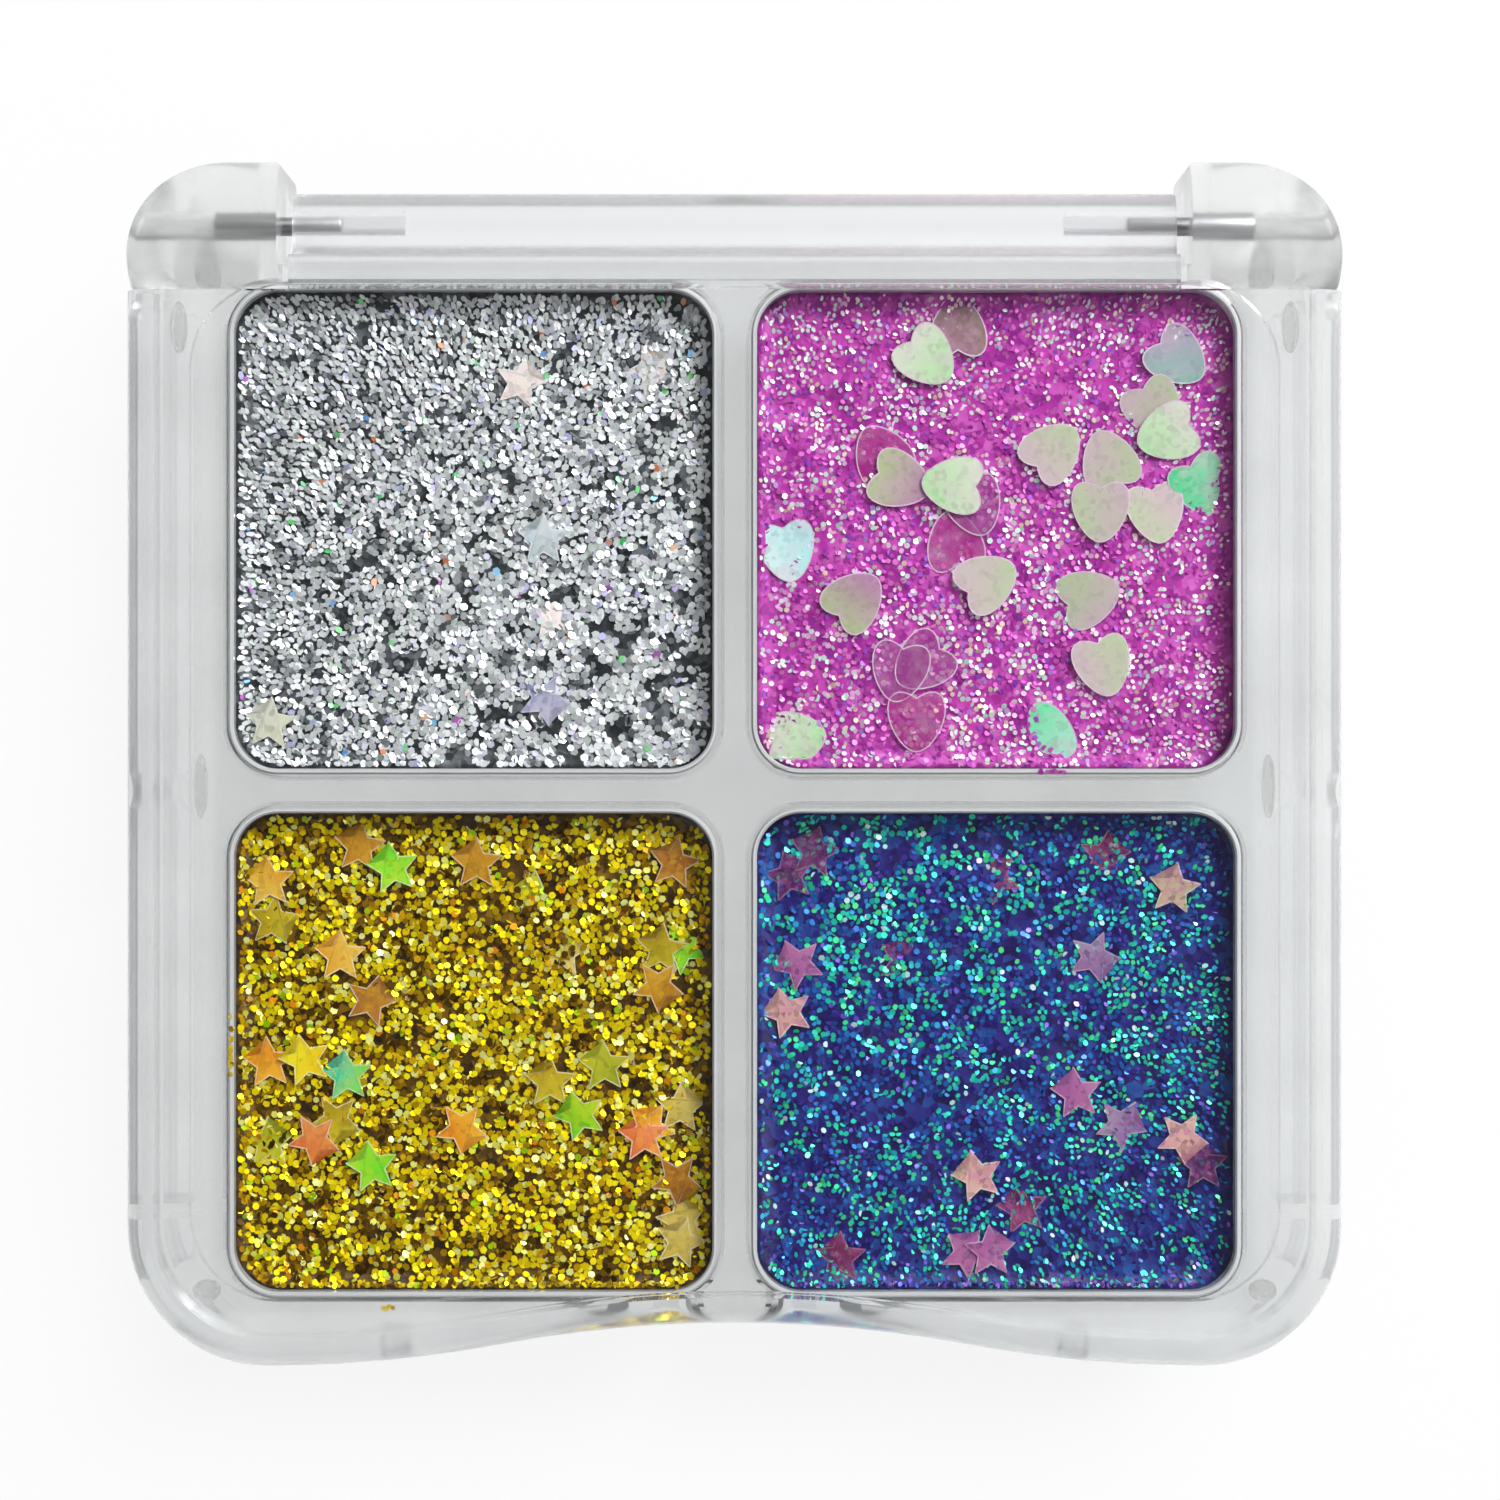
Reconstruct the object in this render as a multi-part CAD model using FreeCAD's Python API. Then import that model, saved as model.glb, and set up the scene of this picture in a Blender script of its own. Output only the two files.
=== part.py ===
import FreeCAD, Part
import math
import os
from FreeCAD import Vector

os.makedirs("parts", exist_ok=True)

# A clear moulded palette case with four square clear pans of glitter gel.
# X runs to the right, Y towards the hinge, Z up. The origin is at the middle
# of the underside. All sizes are in millimetres.

# Pans and what fills them
PAN_SIZE = 26.5
PAN_WALL = 0.3
PAN_FLOOR = 0.6
PAN_CORNER_R = 2.7
PAN_PROUD = 0.3
PAN_RIM_BEVEL = 0.1
GEL_DROP = 1.5
TAPE_SIZE = 12.0
TAPE_THICK = 0.2

# Case, seen from above: what stands round the block of wells
CROSS_RIB = 1.5
SIDE_BORDER = 4.95
FRONT_WALL = 0.9
BACK_WALL = 0.95
FRONT_CORNER_R = 7.5
BACK_CORNER_R = 5.7
NOTCH_DEPTH = 2.3

# Case, seen from the side
BASE_HEIGHT = 8.0
LID_HEIGHT = 4.0
LID_PLATE = 1.3
LID_WALL = 1.5
LID_EDGE_R = 1.8
BASE_EDGE_BEVEL = 0.7
SKIRT_WALL = 1.5
WELL_WALL = 1.9
WELL_FLOOR = 1.0
WELL_MOUTH_BEVEL = 0.2
DECK_DROP = 1.0
DECK_PLATE = 1.2
DECK_MARGIN = 1.9

# Hinge
BARREL_R = 1.75
EAR_R = 3.45
EAR_LENGTH = 8.05
EAR_EDGE_R = 0.4
PIN_D = 1.0
PIN_IN_EAR = 3.6
PIN_IN_BARREL = 2.6
PIN_END_BEVEL = 0.15
BARREL_BORE_DEPTH = 6.0

# Front catches, and the thumb notch where the base stands back under the lid
NOTCH_HALF = 16.2
NOTCH_SETBACK = 0.3
CATCH_X = 18.3
CATCH_WIDTH = 1.24
CATCH_THICK = 0.7
CATCH_LENGTH = 1.8
CATCH_SETBACK = 0.8
CATCH_BEAD = 0.12
BEAD_R = 0.35

# Ejector posts and stiffening ribs under the deck, gate mark on the cross
POST_D = 2.2
POST_FROM_FRONT = 4.25
POST_FROM_BACK_WALL = 1.5
STIFFENER_FROM_FRONT = 7.95
STIFFENER_THICK = 0.8
GATE_D = 1.6
GATE_DEPTH = 0.15
GATE_FROM_MIDDLE = 1.7

# Sequins
SEQUIN_THICK = 0.1
STAR_R = 1.5
STAR_WAIST_R = 0.72
HEART_LOBE_R = 0.85
HEART_LOBE_X = 0.74
HEART_LOBE_FLATS = 8
HEART_TIP = 1.75

# Clearances
PART_GAP = 0.1
PAN_FIT = 0.15
GEL_FIT = 0.02
PIN_RUN = 0.05
BARREL_END_GAP = 0.7
BARREL_BACK_GAP = 0.25
EAR_SWING_GAP = 0.3
CATCH_FIT = 0.2

# Plan sizes that follow from those above
WELL_SIZE = PAN_SIZE + 2 * PAN_FIT
WELL_R = PAN_CORNER_R + PAN_FIT
PAN_PITCH = WELL_SIZE + CROSS_RIB
WELLS_SPAN = PAN_PITCH + WELL_SIZE
CASE_WIDTH = WELLS_SPAN + 2 * SIDE_BORDER
HINGE_FROM_BACK_WALL = BARREL_BACK_GAP + BARREL_R
CASE_DEPTH = NOTCH_DEPTH + FRONT_WALL + WELLS_SPAN + BACK_WALL + HINGE_FROM_BACK_WALL + EAR_R
HALF_W = CASE_WIDTH / 2
HALF_D = CASE_DEPTH / 2
PANS_CENTRE_Y = -HALF_D + NOTCH_DEPTH + FRONT_WALL + WELLS_SPAN / 2
BACK_WALL_Y = PANS_CENTRE_Y + WELLS_SPAN / 2 + BACK_WALL
HINGE_Y = BACK_WALL_Y + HINGE_FROM_BACK_WALL
EAR_X = HALF_W - EAR_LENGTH
BARREL_HALF = EAR_X - BARREL_END_GAP
LID_BACK_Y = BACK_WALL_Y + PART_GAP
LID_EAR_Y = HINGE_Y - EAR_R - EAR_SWING_GAP
WAVE_HALF = HALF_W - FRONT_CORNER_R
WAVE_R = (WAVE_HALF ** 2 + NOTCH_DEPTH ** 2) / (4 * NOTCH_DEPTH)
STIFFENER_Y = -HALF_D + STIFFENER_FROM_FRONT
GEL_SIZE = PAN_SIZE - 2 * PAN_WALL - 2 * GEL_FIT
GEL_R = PAN_CORNER_R - PAN_WALL - GEL_FIT

# Heights that follow
TOP_Z = BASE_HEIGHT + LID_HEIGHT
LID_Z = BASE_HEIGHT + PART_GAP
DECK_Z = BASE_HEIGHT - DECK_DROP
HINGE_Z = BASE_HEIGHT
PAN_Z = WELL_FLOOR + TAPE_THICK
PAN_TOP = DECK_Z + PAN_PROUD
GEL_Z = PAN_Z + PAN_FLOOR
GEL_TOP = PAN_TOP - GEL_DROP

# Middle of each pan
PAN_SPOTS = {
    "silver": (-PAN_PITCH / 2, PANS_CENTRE_Y + PAN_PITCH / 2),
    "pink": (PAN_PITCH / 2, PANS_CENTRE_Y + PAN_PITCH / 2),
    "gold": (-PAN_PITCH / 2, PANS_CENTRE_Y - PAN_PITCH / 2),
    "blue": (PAN_PITCH / 2, PANS_CENTRE_Y - PAN_PITCH / 2),
}

# Ejector posts along both sides, half sunk in the wall round the wells
POST_X = WELLS_SPAN / 2 + WELL_WALL
POST_ROWS = (-HALF_D + POST_FROM_FRONT, PANS_CENTRE_Y, BACK_WALL_Y - POST_FROM_BACK_WALL)
POSTS = [(side * POST_X, y) for side in (1, -1) for y in POST_ROWS]

# Sequins in each pan: place as a share of the room from the middle to where
# a sequin meets the wall, turn in degrees, and layer of film counted up from
# the gel, so that neighbours lie over each other.
SILVER_STARS = [
    (0.22, 0.71, 5, 0), (0.85, 0.77, 80, 0), (0.33, -0.04, 90, 0),
    (-0.98, -0.93, 85, 0), (0.34, -0.82, -80, 0), (0.38, -0.41, 20, 0),
]
PINK_HEARTS = [
    (-0.34, 0.84, 45, 0), (0.91, 0.84, 50, 0), (0.79, 0.59, 30, 1),
    (0.84, 0.47, -70, 0), (0.29, 0.40, 135, 0), (0.58, 0.35, 200, 2),
    (0.50, 0.06, 0, 0), (0.81, 0.08, 10, 1), (1.00, 0.24, 150, 2),
    (-0.48, 0.23, 160, 0), (-0.21, 0.23, -95, 1), (-0.03, -0.24, 120, 0),
    (-0.68, -0.34, 135, 0), (0.47, -0.33, 110, 0), (0.53, -0.66, 15, 1),
    (-0.48, -0.71, -10, 0), (-1.00, -0.11, 160, 0), (0.27, -1.00, 60, 0),
]
GOLD_STARS = [
    (-0.56, 0.98, 85, 0), (-0.39, 0.88, 100, 1), (0.01, 0.90, 90, 0),
    (0.96, 0.90, 80, 0), (-0.99, 0.82, 95, 0), (-0.97, 0.62, -60, 1),
    (-0.65, 0.46, 90, 0), (-0.50, 0.24, 0, 1), (0.90, 0.49, 85, 0),
    (0.89, 0.31, -90, 1), (-0.99, -0.06, 95, 0), (-0.82, -0.04, 105, 1),
    (-0.62, -0.12, 95, 0), (-0.67, -0.34, -95, 1), (-0.77, -0.43, -95, 0),
    (-0.50, -0.56, 100, 2), (-0.06, -0.37, -90, 0), (0.36, -0.15, 90, 0),
    (0.62, -0.07, 93, 1), (0.51, -0.31, 110, 2), (0.82, -0.41, 95, 0),
    (0.98, -0.62, -90, 1), (0.98, -0.89, 70, 0),
]
BLUE_STARS = [
    (0.86, 0.78, 82, 0), (0.48, 0.45, -75, 0), (-0.95, 0.42, 120, 0),
    (-0.99, 0.20, 110, 1), (0.39, -0.20, 97, 0), (0.61, -0.35, -15, 1),
    (0.90, -0.42, -85, 0), (0.99, -0.56, 10, 1), (-0.09, -0.60, 105, 0),
    (-0.14, -0.98, 60, 0), (-0.03, -0.96, 20, 1), (-0.74, -0.98, 40, 0),
    (-0.87, 0.96, 15, 0), (-0.99, 0.83, 50, 1), (0.00, 0.82, 0, 0),
    (0.13, -0.76, 30, 2),
]


def box(x0, x1, y0, y1, z0, z1):
    return Part.makeBox(x1 - x0, y1 - y0, z1 - z0, Vector(x0, y0, z0))


def post(d, x, y, z0, z1):
    return Part.makeCylinder(d / 2, z1 - z0, Vector(x, y, z0))


def rod(r, x0, x1, y, z):
    return Part.makeCylinder(r, x1 - x0, Vector(x0, y, z), Vector(1, 0, 0))


def arc_about(centre, start, end):
    # The shorter arc from start to end around the centre.
    middle = (start - centre) + (end - centre)
    middle.normalize()
    return Part.Arc(start, centre + middle * (start - centre).Length, end).toShape()


def prism(edges, z0, z1):
    face = Part.Face(Part.Wire(Part.__sortEdges__(edges)))
    face.translate(Vector(0, 0, z0))
    return face.extrude(Vector(0, 0, z1 - z0))


def rounded_block(cx, cy, wx, wy, r, z0, z1):
    x = wx / 2
    y = wy / 2
    edges = []
    corners = [(1, 1), (-1, 1), (-1, -1), (1, -1)]
    for i, (sx, sy) in enumerate(corners):
        centre = Vector(cx + sx * (x - r), cy + sy * (y - r), 0)
        along_x = centre + Vector(sx * r, 0, 0)
        along_y = centre + Vector(0, sy * r, 0)
        edges.append(arc_about(centre, along_x, along_y))
        nx, ny = corners[(i + 1) % 4]
        if sx != nx:
            end = Vector(cx + nx * (x - r), cy + sy * y, 0)
            edges.append(Part.makeLine(along_y, end))
        else:
            end = Vector(cx + sx * x, cy + ny * (y - r), 0)
            edges.append(Part.makeLine(along_x, end))
    return prism(edges, z0, z1)


def case_outline(inset):
    # Straight sides and back, rounded corners, and a front edge that waves in
    # to a shallow thumb notch. An inset keeps every arc on its own centre.
    w = HALF_W - inset
    back = HALF_D - inset
    front = -HALF_D + inset
    side_low = -HALF_D + FRONT_CORNER_R
    side_high = HALF_D - BACK_CORNER_R
    corner_x = HALF_W - BACK_CORNER_R
    notch_centre = Vector(0, -HALF_D + NOTCH_DEPTH - WAVE_R, 0)
    edges = []
    ends = []
    for s in (1, -1):
        corner = Vector(s * WAVE_HALF, side_low, 0)
        bulge_centre = Vector(s * WAVE_HALF, -HALF_D + WAVE_R, 0)
        to_notch = notch_centre - bulge_centre
        to_notch.normalize()
        turn = bulge_centre + to_notch * (WAVE_R - inset)
        low = Vector(s * WAVE_HALF, front, 0)
        side = Vector(s * w, side_low, 0)
        high = Vector(s * w, side_high, 0)
        top = Vector(s * corner_x, back, 0)
        edges.append(arc_about(bulge_centre, turn, low))
        edges.append(arc_about(corner, low, side))
        edges.append(Part.makeLine(side, high))
        edges.append(arc_about(Vector(s * corner_x, side_high, 0), high, top))
        ends.append((turn, top))
    edges.append(arc_about(notch_centre, ends[0][0], ends[1][0]))
    edges.append(Part.makeLine(ends[0][1], ends[1][1]))
    return edges


def flat_edges_at(shape, z):
    near = 1e-6
    return [e for e in shape.Edges
            if abs(e.BoundBox.ZMin - z) < near and abs(e.BoundBox.ZMax - z) < near]


def both_sides(shape):
    return [shape, shape.mirror(Vector(0, 0, 0), Vector(1, 0, 0))]


def ears():
    # The two back corners rise into rounded knuckles that hold the pins.
    front = HINGE_Y - EAR_R
    low = [Vector(EAR_X, front, 0), Vector(EAR_X, front, HINGE_Z),
           Vector(EAR_X, HALF_D, HINGE_Z), Vector(EAR_X, HALF_D, 0)]
    crown = Part.Arc(low[1], Vector(EAR_X, HINGE_Y, HINGE_Z + EAR_R), low[2]).toShape()
    edges = [Part.makeLine(low[0], low[1]), crown,
             Part.makeLine(low[2], low[3]), Part.makeLine(low[3], low[0])]
    ear = Part.Face(Part.Wire(edges)).extrude(Vector(EAR_LENGTH, 0, 0))
    column = prism(case_outline(0), 0, TOP_Z)
    column = column.makeChamfer(BASE_EDGE_BEVEL, flat_edges_at(column, 0))
    ear = column.common(ear)
    r = EAR_EDGE_R
    corner = box(EAR_X, EAR_X + r, HALF_D - r, HALF_D, 0, TOP_Z)
    corner = corner.cut(post(2 * r, EAR_X + r, HALF_D - r, 0, TOP_Z))
    return both_sides(ear.cut(corner))


def deck_recess(floor_z):
    width = WELLS_SPAN + 2 * DECK_MARGIN
    return rounded_block(0, PANS_CENTRE_Y, width, WELLS_SPAN, WELL_R + DECK_MARGIN,
                         floor_z, TOP_Z)


def wells():
    # Square holes for the pans, each with a small bevel where its mouth opens on the deck.
    room = []
    low = DECK_Z - WELL_MOUTH_BEVEL
    mouth_size = WELL_SIZE + 2 * WELL_MOUTH_BEVEL
    for x, y in PAN_SPOTS.values():
        room.append(rounded_block(x, y, WELL_SIZE, WELL_SIZE, WELL_R, WELL_FLOOR, TOP_Z))
        mouth = rounded_block(x, y, mouth_size, mouth_size, WELL_R + WELL_MOUTH_BEVEL, low, TOP_Z)
        mouth = mouth.makeChamfer(WELL_MOUTH_BEVEL, flat_edges_at(mouth, low))
        room.append(mouth.common(deck_recess(low)))
    return room


def underside_channel():
    # Hollow ring between the outer skirt and the block of wells, open below.
    ring = prism(case_outline(SKIRT_WALL), 0, DECK_Z - DECK_PLATE)
    span = WELLS_SPAN + 2 * WELL_WALL
    ring = ring.cut(rounded_block(0, PANS_CENTRE_Y, span, span, WELL_R + WELL_WALL,
                                  0, BASE_HEIGHT))
    back = BACK_WALL_Y - WELL_WALL
    ring = ring.cut(box(-EAR_X, EAR_X, -CASE_DEPTH, CASE_DEPTH, 0, BASE_HEIGHT))
    ear_solid = box(EAR_X - SKIRT_WALL, HALF_W, back, HALF_D,
                    HINGE_Z - EAR_R, BASE_HEIGHT)
    end_wall = box(EAR_X - SKIRT_WALL, EAR_X + SKIRT_WALL, back, HALF_D, 0, BASE_HEIGHT)
    for solid in both_sides(ear_solid) + both_sides(end_wall):
        ring = ring.cut(solid)
    for x, y in POSTS:
        ring = ring.cut(post(POST_D, x, y, 0, BASE_HEIGHT))
    rib = box(0, HALF_W, STIFFENER_Y - STIFFENER_THICK / 2,
              STIFFENER_Y + STIFFENER_THICK / 2, 0, BASE_HEIGHT)
    for solid in both_sides(rib):
        ring = ring.cut(solid)
    return ring


def front_edge_y(x):
    # Front edge of the case on the bulge of its wave.
    across = WAVE_HALF - x
    return -HALF_D + WAVE_R - math.sqrt(WAVE_R ** 2 - across ** 2)


def thumb_notch():
    # A shallow step along the middle of the front, for a fingernail.
    step = box(-NOTCH_HALF, NOTCH_HALF, -CASE_DEPTH, PANS_CENTRE_Y, 0, TOP_Z)
    return step.cut(prism(case_outline(NOTCH_SETBACK), 0, TOP_Z))


def catch_pockets():
    y = front_edge_y(CATCH_X) + CATCH_SETBACK
    half = CATCH_WIDTH / 2 + CATCH_FIT
    low = BASE_HEIGHT - CATCH_LENGTH - CATCH_FIT
    pocket = box(CATCH_X - half, CATCH_X + half, y - CATCH_FIT,
                 y + CATCH_THICK + CATCH_FIT, low, TOP_Z)
    return both_sides(pocket)


def case_base():
    tray = prism(case_outline(0), 0, BASE_HEIGHT)
    tray = tray.makeChamfer(BASE_EDGE_BEVEL, flat_edges_at(tray, 0))
    tray = tray.cut(thumb_notch())
    tray = tray.cut(box(-EAR_X, EAR_X, BACK_WALL_Y, HALF_D, 0, TOP_Z))
    tray = tray.cut(both_sides(box(EAR_X, HALF_W, HINGE_Y - EAR_R, HALF_D, 0, TOP_Z)))
    tray = tray.fuse(ears())
    tray = tray.cut(deck_recess(DECK_Z))
    tray = tray.cut(wells())
    tray = tray.cut(underside_channel())
    tray = tray.cut(both_sides(rod(PIN_D / 2, EAR_X, HALF_W, HINGE_Y, HINGE_Z)))
    tray = tray.cut(catch_pockets())
    gate_y = PANS_CENTRE_Y + GATE_FROM_MIDDLE
    tray = tray.cut(post(GATE_D, 0, gate_y, DECK_Z - GATE_DEPTH, DECK_Z))
    return tray.removeSplitter()


def catches():
    # Small springy tongues with a rubbing bead, under the front of the lid.
    y = front_edge_y(CATCH_X) + CATCH_SETBACK
    x0 = CATCH_X - CATCH_WIDTH / 2
    x1 = CATCH_X + CATCH_WIDTH / 2
    low = BASE_HEIGHT - CATCH_LENGTH
    tongue = box(x0, x1, y, y + CATCH_THICK, low, LID_Z + LID_WALL)
    bead = rod(BEAD_R, x0, x1, y + BEAD_R - CATCH_BEAD, low + 2 * BEAD_R)
    return both_sides(tongue.fuse(bead))


def hinge_barrel():
    barrel = rod(BARREL_R, -BARREL_HALF, BARREL_HALF, HINGE_Y, HINGE_Z)
    web = box(-BARREL_HALF, BARREL_HALF, LID_BACK_Y - LID_WALL, HINGE_Y,
              LID_Z, HINGE_Z + BARREL_R)
    return [barrel, web]


def behind(y):
    return box(-CASE_WIDTH, CASE_WIDTH, y, CASE_DEPTH, 0, 2 * TOP_Z)


def case_lid():
    # The rim runs round the front and sides and along the barrel. Where the
    # ears stand in the two back corners, the plate ends in a plain edge.
    lid = prism(case_outline(0), LID_Z, TOP_Z)
    lid = lid.makeFillet(LID_EDGE_R, flat_edges_at(lid, TOP_Z))
    lid = lid.cut(behind(LID_BACK_Y))
    hollow = prism(case_outline(LID_WALL), LID_Z, TOP_Z - LID_PLATE)
    lid = lid.cut(hollow.cut(behind(LID_BACK_Y - LID_WALL)))
    ear_room = box(BARREL_HALF, CASE_WIDTH, LID_EAR_Y, CASE_DEPTH, 0, 2 * TOP_Z)
    lid = lid.cut(both_sides(ear_room))
    lid = lid.fuse(hinge_barrel() + catches())
    bore = rod(PIN_D / 2 + PIN_RUN, BARREL_HALF - BARREL_BORE_DEPTH, EAR_X,
               HINGE_Y, HINGE_Z)
    lid = lid.cut(both_sides(bore))
    return lid.removeSplitter()


def hinge_pin(side):
    pin = rod(PIN_D / 2, BARREL_HALF - PIN_IN_BARREL, EAR_X + PIN_IN_EAR,
              HINGE_Y, HINGE_Z)
    rings = [e for e in pin.Edges if e.BoundBox.XLength < 1e-6]
    pin = pin.makeChamfer(PIN_END_BEVEL, rings)
    return both_sides(pin)[0 if side > 0 else 1]


def pan(spot):
    x, y = spot
    cup = rounded_block(x, y, PAN_SIZE, PAN_SIZE, PAN_CORNER_R, PAN_Z, PAN_TOP)
    inner = PAN_SIZE - 2 * PAN_WALL
    cup = cup.cut(rounded_block(x, y, inner, inner, PAN_CORNER_R - PAN_WALL,
                                GEL_Z, PAN_TOP))
    return cup.makeChamfer(PAN_RIM_BEVEL, flat_edges_at(cup, PAN_TOP))


def gel(spot):
    x, y = spot
    return rounded_block(x, y, GEL_SIZE, GEL_SIZE, GEL_R, GEL_Z, GEL_TOP)


def tape(spot):
    x, y = spot
    half = TAPE_SIZE / 2
    return box(x - half, x + half, y - half, y + half, WELL_FLOOR, PAN_Z)


def punched(points):
    face = Part.Face(Part.makePolygon(points + points[:1]))
    return face.extrude(Vector(0, 0, SEQUIN_THICK))


def star():
    points = []
    for i in range(10):
        r = STAR_R if i % 2 == 0 else STAR_WAIST_R
        a = math.radians(36 * i)
        points.append(Vector(r * math.cos(a), r * math.sin(a), 0))
    return punched(points)


def heart():
    # Two lobes, each of a few flats from the cleft round to the flank, run to a point.
    tip = Vector(0, -HEART_TIP, 0)
    lobe = Vector(HEART_LOBE_X, 0, 0)
    lean = math.atan2(HEART_LOBE_X, HEART_TIP) + math.asin(HEART_LOBE_R / (lobe - tip).Length)
    cleft_turn = math.pi - math.acos(HEART_LOBE_X / HEART_LOBE_R)
    step = (cleft_turn + lean) / HEART_LOBE_FLATS
    half = []
    for i in range(HEART_LOBE_FLATS + 1):
        turn = cleft_turn - i * step
        half.append(lobe + Vector(math.cos(turn), math.sin(turn), 0) * HEART_LOBE_R)
    other_half = [Vector(-point.x, point.y, 0) for point in half[:0:-1]]
    return punched(half + [tip] + other_half)


def sequins(shape, reach, spot, places):
    group = []
    room = GEL_SIZE / 2 - reach
    for x, y, turn, layer in places:
        piece = shape.copy()
        piece.rotate(Vector(0, 0, 0), Vector(0, 0, 1), turn)
        piece.translate(Vector(spot[0] + x * room, spot[1] + y * room,
                               GEL_TOP + layer * SEQUIN_THICK))
        group.append(piece)
    return Part.makeCompound(group)


parts = {
    "case_base": case_base(),
    "case_lid": case_lid(),
    "hinge_pin_left": hinge_pin(-1),
    "hinge_pin_right": hinge_pin(1),
    "silver_stars": sequins(star(), STAR_R, PAN_SPOTS["silver"], SILVER_STARS),
    "pink_hearts": sequins(heart(), HEART_TIP, PAN_SPOTS["pink"], PINK_HEARTS),
    "gold_stars": sequins(star(), STAR_R, PAN_SPOTS["gold"], GOLD_STARS),
    "blue_stars": sequins(star(), STAR_R, PAN_SPOTS["blue"], BLUE_STARS),
}
for colour, spot in PAN_SPOTS.items():
    parts[colour + "_pan"] = pan(spot)
    parts[colour + "_gel"] = gel(spot)
    parts[colour + "_tape"] = tape(spot)

for node, shape in parts.items():
    shape.exportStep("parts/" + node + ".step")
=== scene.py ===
import math
import random

import bmesh
import bpy
from mathutils import Matrix, Vector, noise


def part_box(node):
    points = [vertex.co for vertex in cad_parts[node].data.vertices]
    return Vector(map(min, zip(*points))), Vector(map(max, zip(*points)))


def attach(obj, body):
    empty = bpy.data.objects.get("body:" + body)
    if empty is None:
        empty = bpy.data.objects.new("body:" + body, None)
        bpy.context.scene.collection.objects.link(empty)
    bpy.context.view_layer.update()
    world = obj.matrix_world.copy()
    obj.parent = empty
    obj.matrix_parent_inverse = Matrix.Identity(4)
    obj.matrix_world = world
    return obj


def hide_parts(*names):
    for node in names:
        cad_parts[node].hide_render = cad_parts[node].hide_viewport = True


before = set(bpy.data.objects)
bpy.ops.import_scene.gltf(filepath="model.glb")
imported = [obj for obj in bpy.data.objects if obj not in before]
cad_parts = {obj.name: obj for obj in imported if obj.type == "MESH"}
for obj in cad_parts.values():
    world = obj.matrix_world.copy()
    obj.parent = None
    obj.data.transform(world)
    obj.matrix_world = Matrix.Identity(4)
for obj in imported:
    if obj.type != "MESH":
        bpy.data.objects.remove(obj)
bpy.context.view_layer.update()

# Case base. The lower half of the palette is one clear polished moulding with four wells,
# a wavy front edge and two hinge ears at the back. It stays as the CAD made it, in acrylic
# that is a little rippled, milky towards its top and hazy round the ears.
MM = 0.001
ACRYLIC_IOR = 1.49
CLOUD_SIZE = 6
HAZE_SIZE = 1.5
WARP_SIZE = 3.5
WARP_HEIGHT = 0.03
WARP_STRENGTH = 0.25
BASE_CLEAR_TO = 4.5
BASE_MILKY_FROM = 6.9
BASE_SKIRT_CLEARNESS = 0.92
BASE_DECK_CLEARNESS = 0.84
EAR_CLEAR_TO = 25.5
EAR_HAZY_FROM = 26.5
EAR_ROUGHNESS = 0.24
BASE_ROUGHNESS = 0.1
BASE_COAT = 0.2
BASE_COAT_ROUGHNESS = 0.03


def tone(red, green, blue, opacity=1.0):
    """A colour given as it looks on a screen, from 0 to 255, as the linear value that a shader takes."""
    linear = []
    for value in (red, green, blue):
        share = value / 255
        linear.append(share / 12.92 if share <= 0.04045 else ((share + 0.055) / 1.055) ** 2.4)
    return (*linear, opacity)


def new_finish(name):
    """A new node material, with its principled surface."""
    finish = bpy.data.materials.new(name)
    finish.use_nodes = True
    return finish, finish.node_tree.nodes["Principled BSDF"]


def blobs_of(finish, size_mm, detail=3.0, stretch=(1, 1, 1)):
    """Soft noise fixed to the object, with blobs of about that many millimetres."""
    tree = finish.node_tree
    place = tree.nodes.new("ShaderNodeTexCoord")
    spread = tree.nodes.new("ShaderNodeMapping")
    spread.inputs["Scale"].default_value = stretch
    blobs = tree.nodes.new("ShaderNodeTexNoise")
    blobs.inputs["Scale"].default_value = 1 / (size_mm * MM)
    blobs.inputs["Detail"].default_value = detail
    tree.links.new(place.outputs["Object"], spread.inputs["Vector"])
    tree.links.new(spread.outputs["Vector"], blobs.inputs["Vector"])
    return blobs.outputs["Fac"]


def shades(finish, source, *stops):
    """Colours spread over a source from 0 to 1, as pairs of a position and a colour."""
    ramp = finish.node_tree.nodes.new("ShaderNodeValToRGB")
    while len(ramp.color_ramp.elements) < len(stops):
        ramp.color_ramp.elements.new(0.5)
    for element, (position, colour) in zip(ramp.color_ramp.elements, stops):
        element.position = position
        element.color = colour
    finish.node_tree.links.new(source, ramp.inputs["Fac"])
    return ramp.outputs["Color"]


def between(finish, source, low, high, start=0.0, end=1.0):
    """A source that goes from start to end, brought to run from low to high and no further."""
    reach = finish.node_tree.nodes.new("ShaderNodeMapRange")
    reach.inputs["From Min"].default_value = start
    reach.inputs["From Max"].default_value = end
    reach.inputs["To Min"].default_value = low
    reach.inputs["To Max"].default_value = high
    finish.node_tree.links.new(source, reach.inputs["Value"])
    return reach.outputs["Result"]


def largest(finish, first, *others):
    """The largest of several values at each point."""
    for other in others:
        most = finish.node_tree.nodes.new("ShaderNodeMath")
        most.operation = "MAXIMUM"
        finish.node_tree.links.new(first, most.inputs[0])
        finish.node_tree.links.new(other, most.inputs[1])
        first = most.outputs["Value"]
    return first


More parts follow.
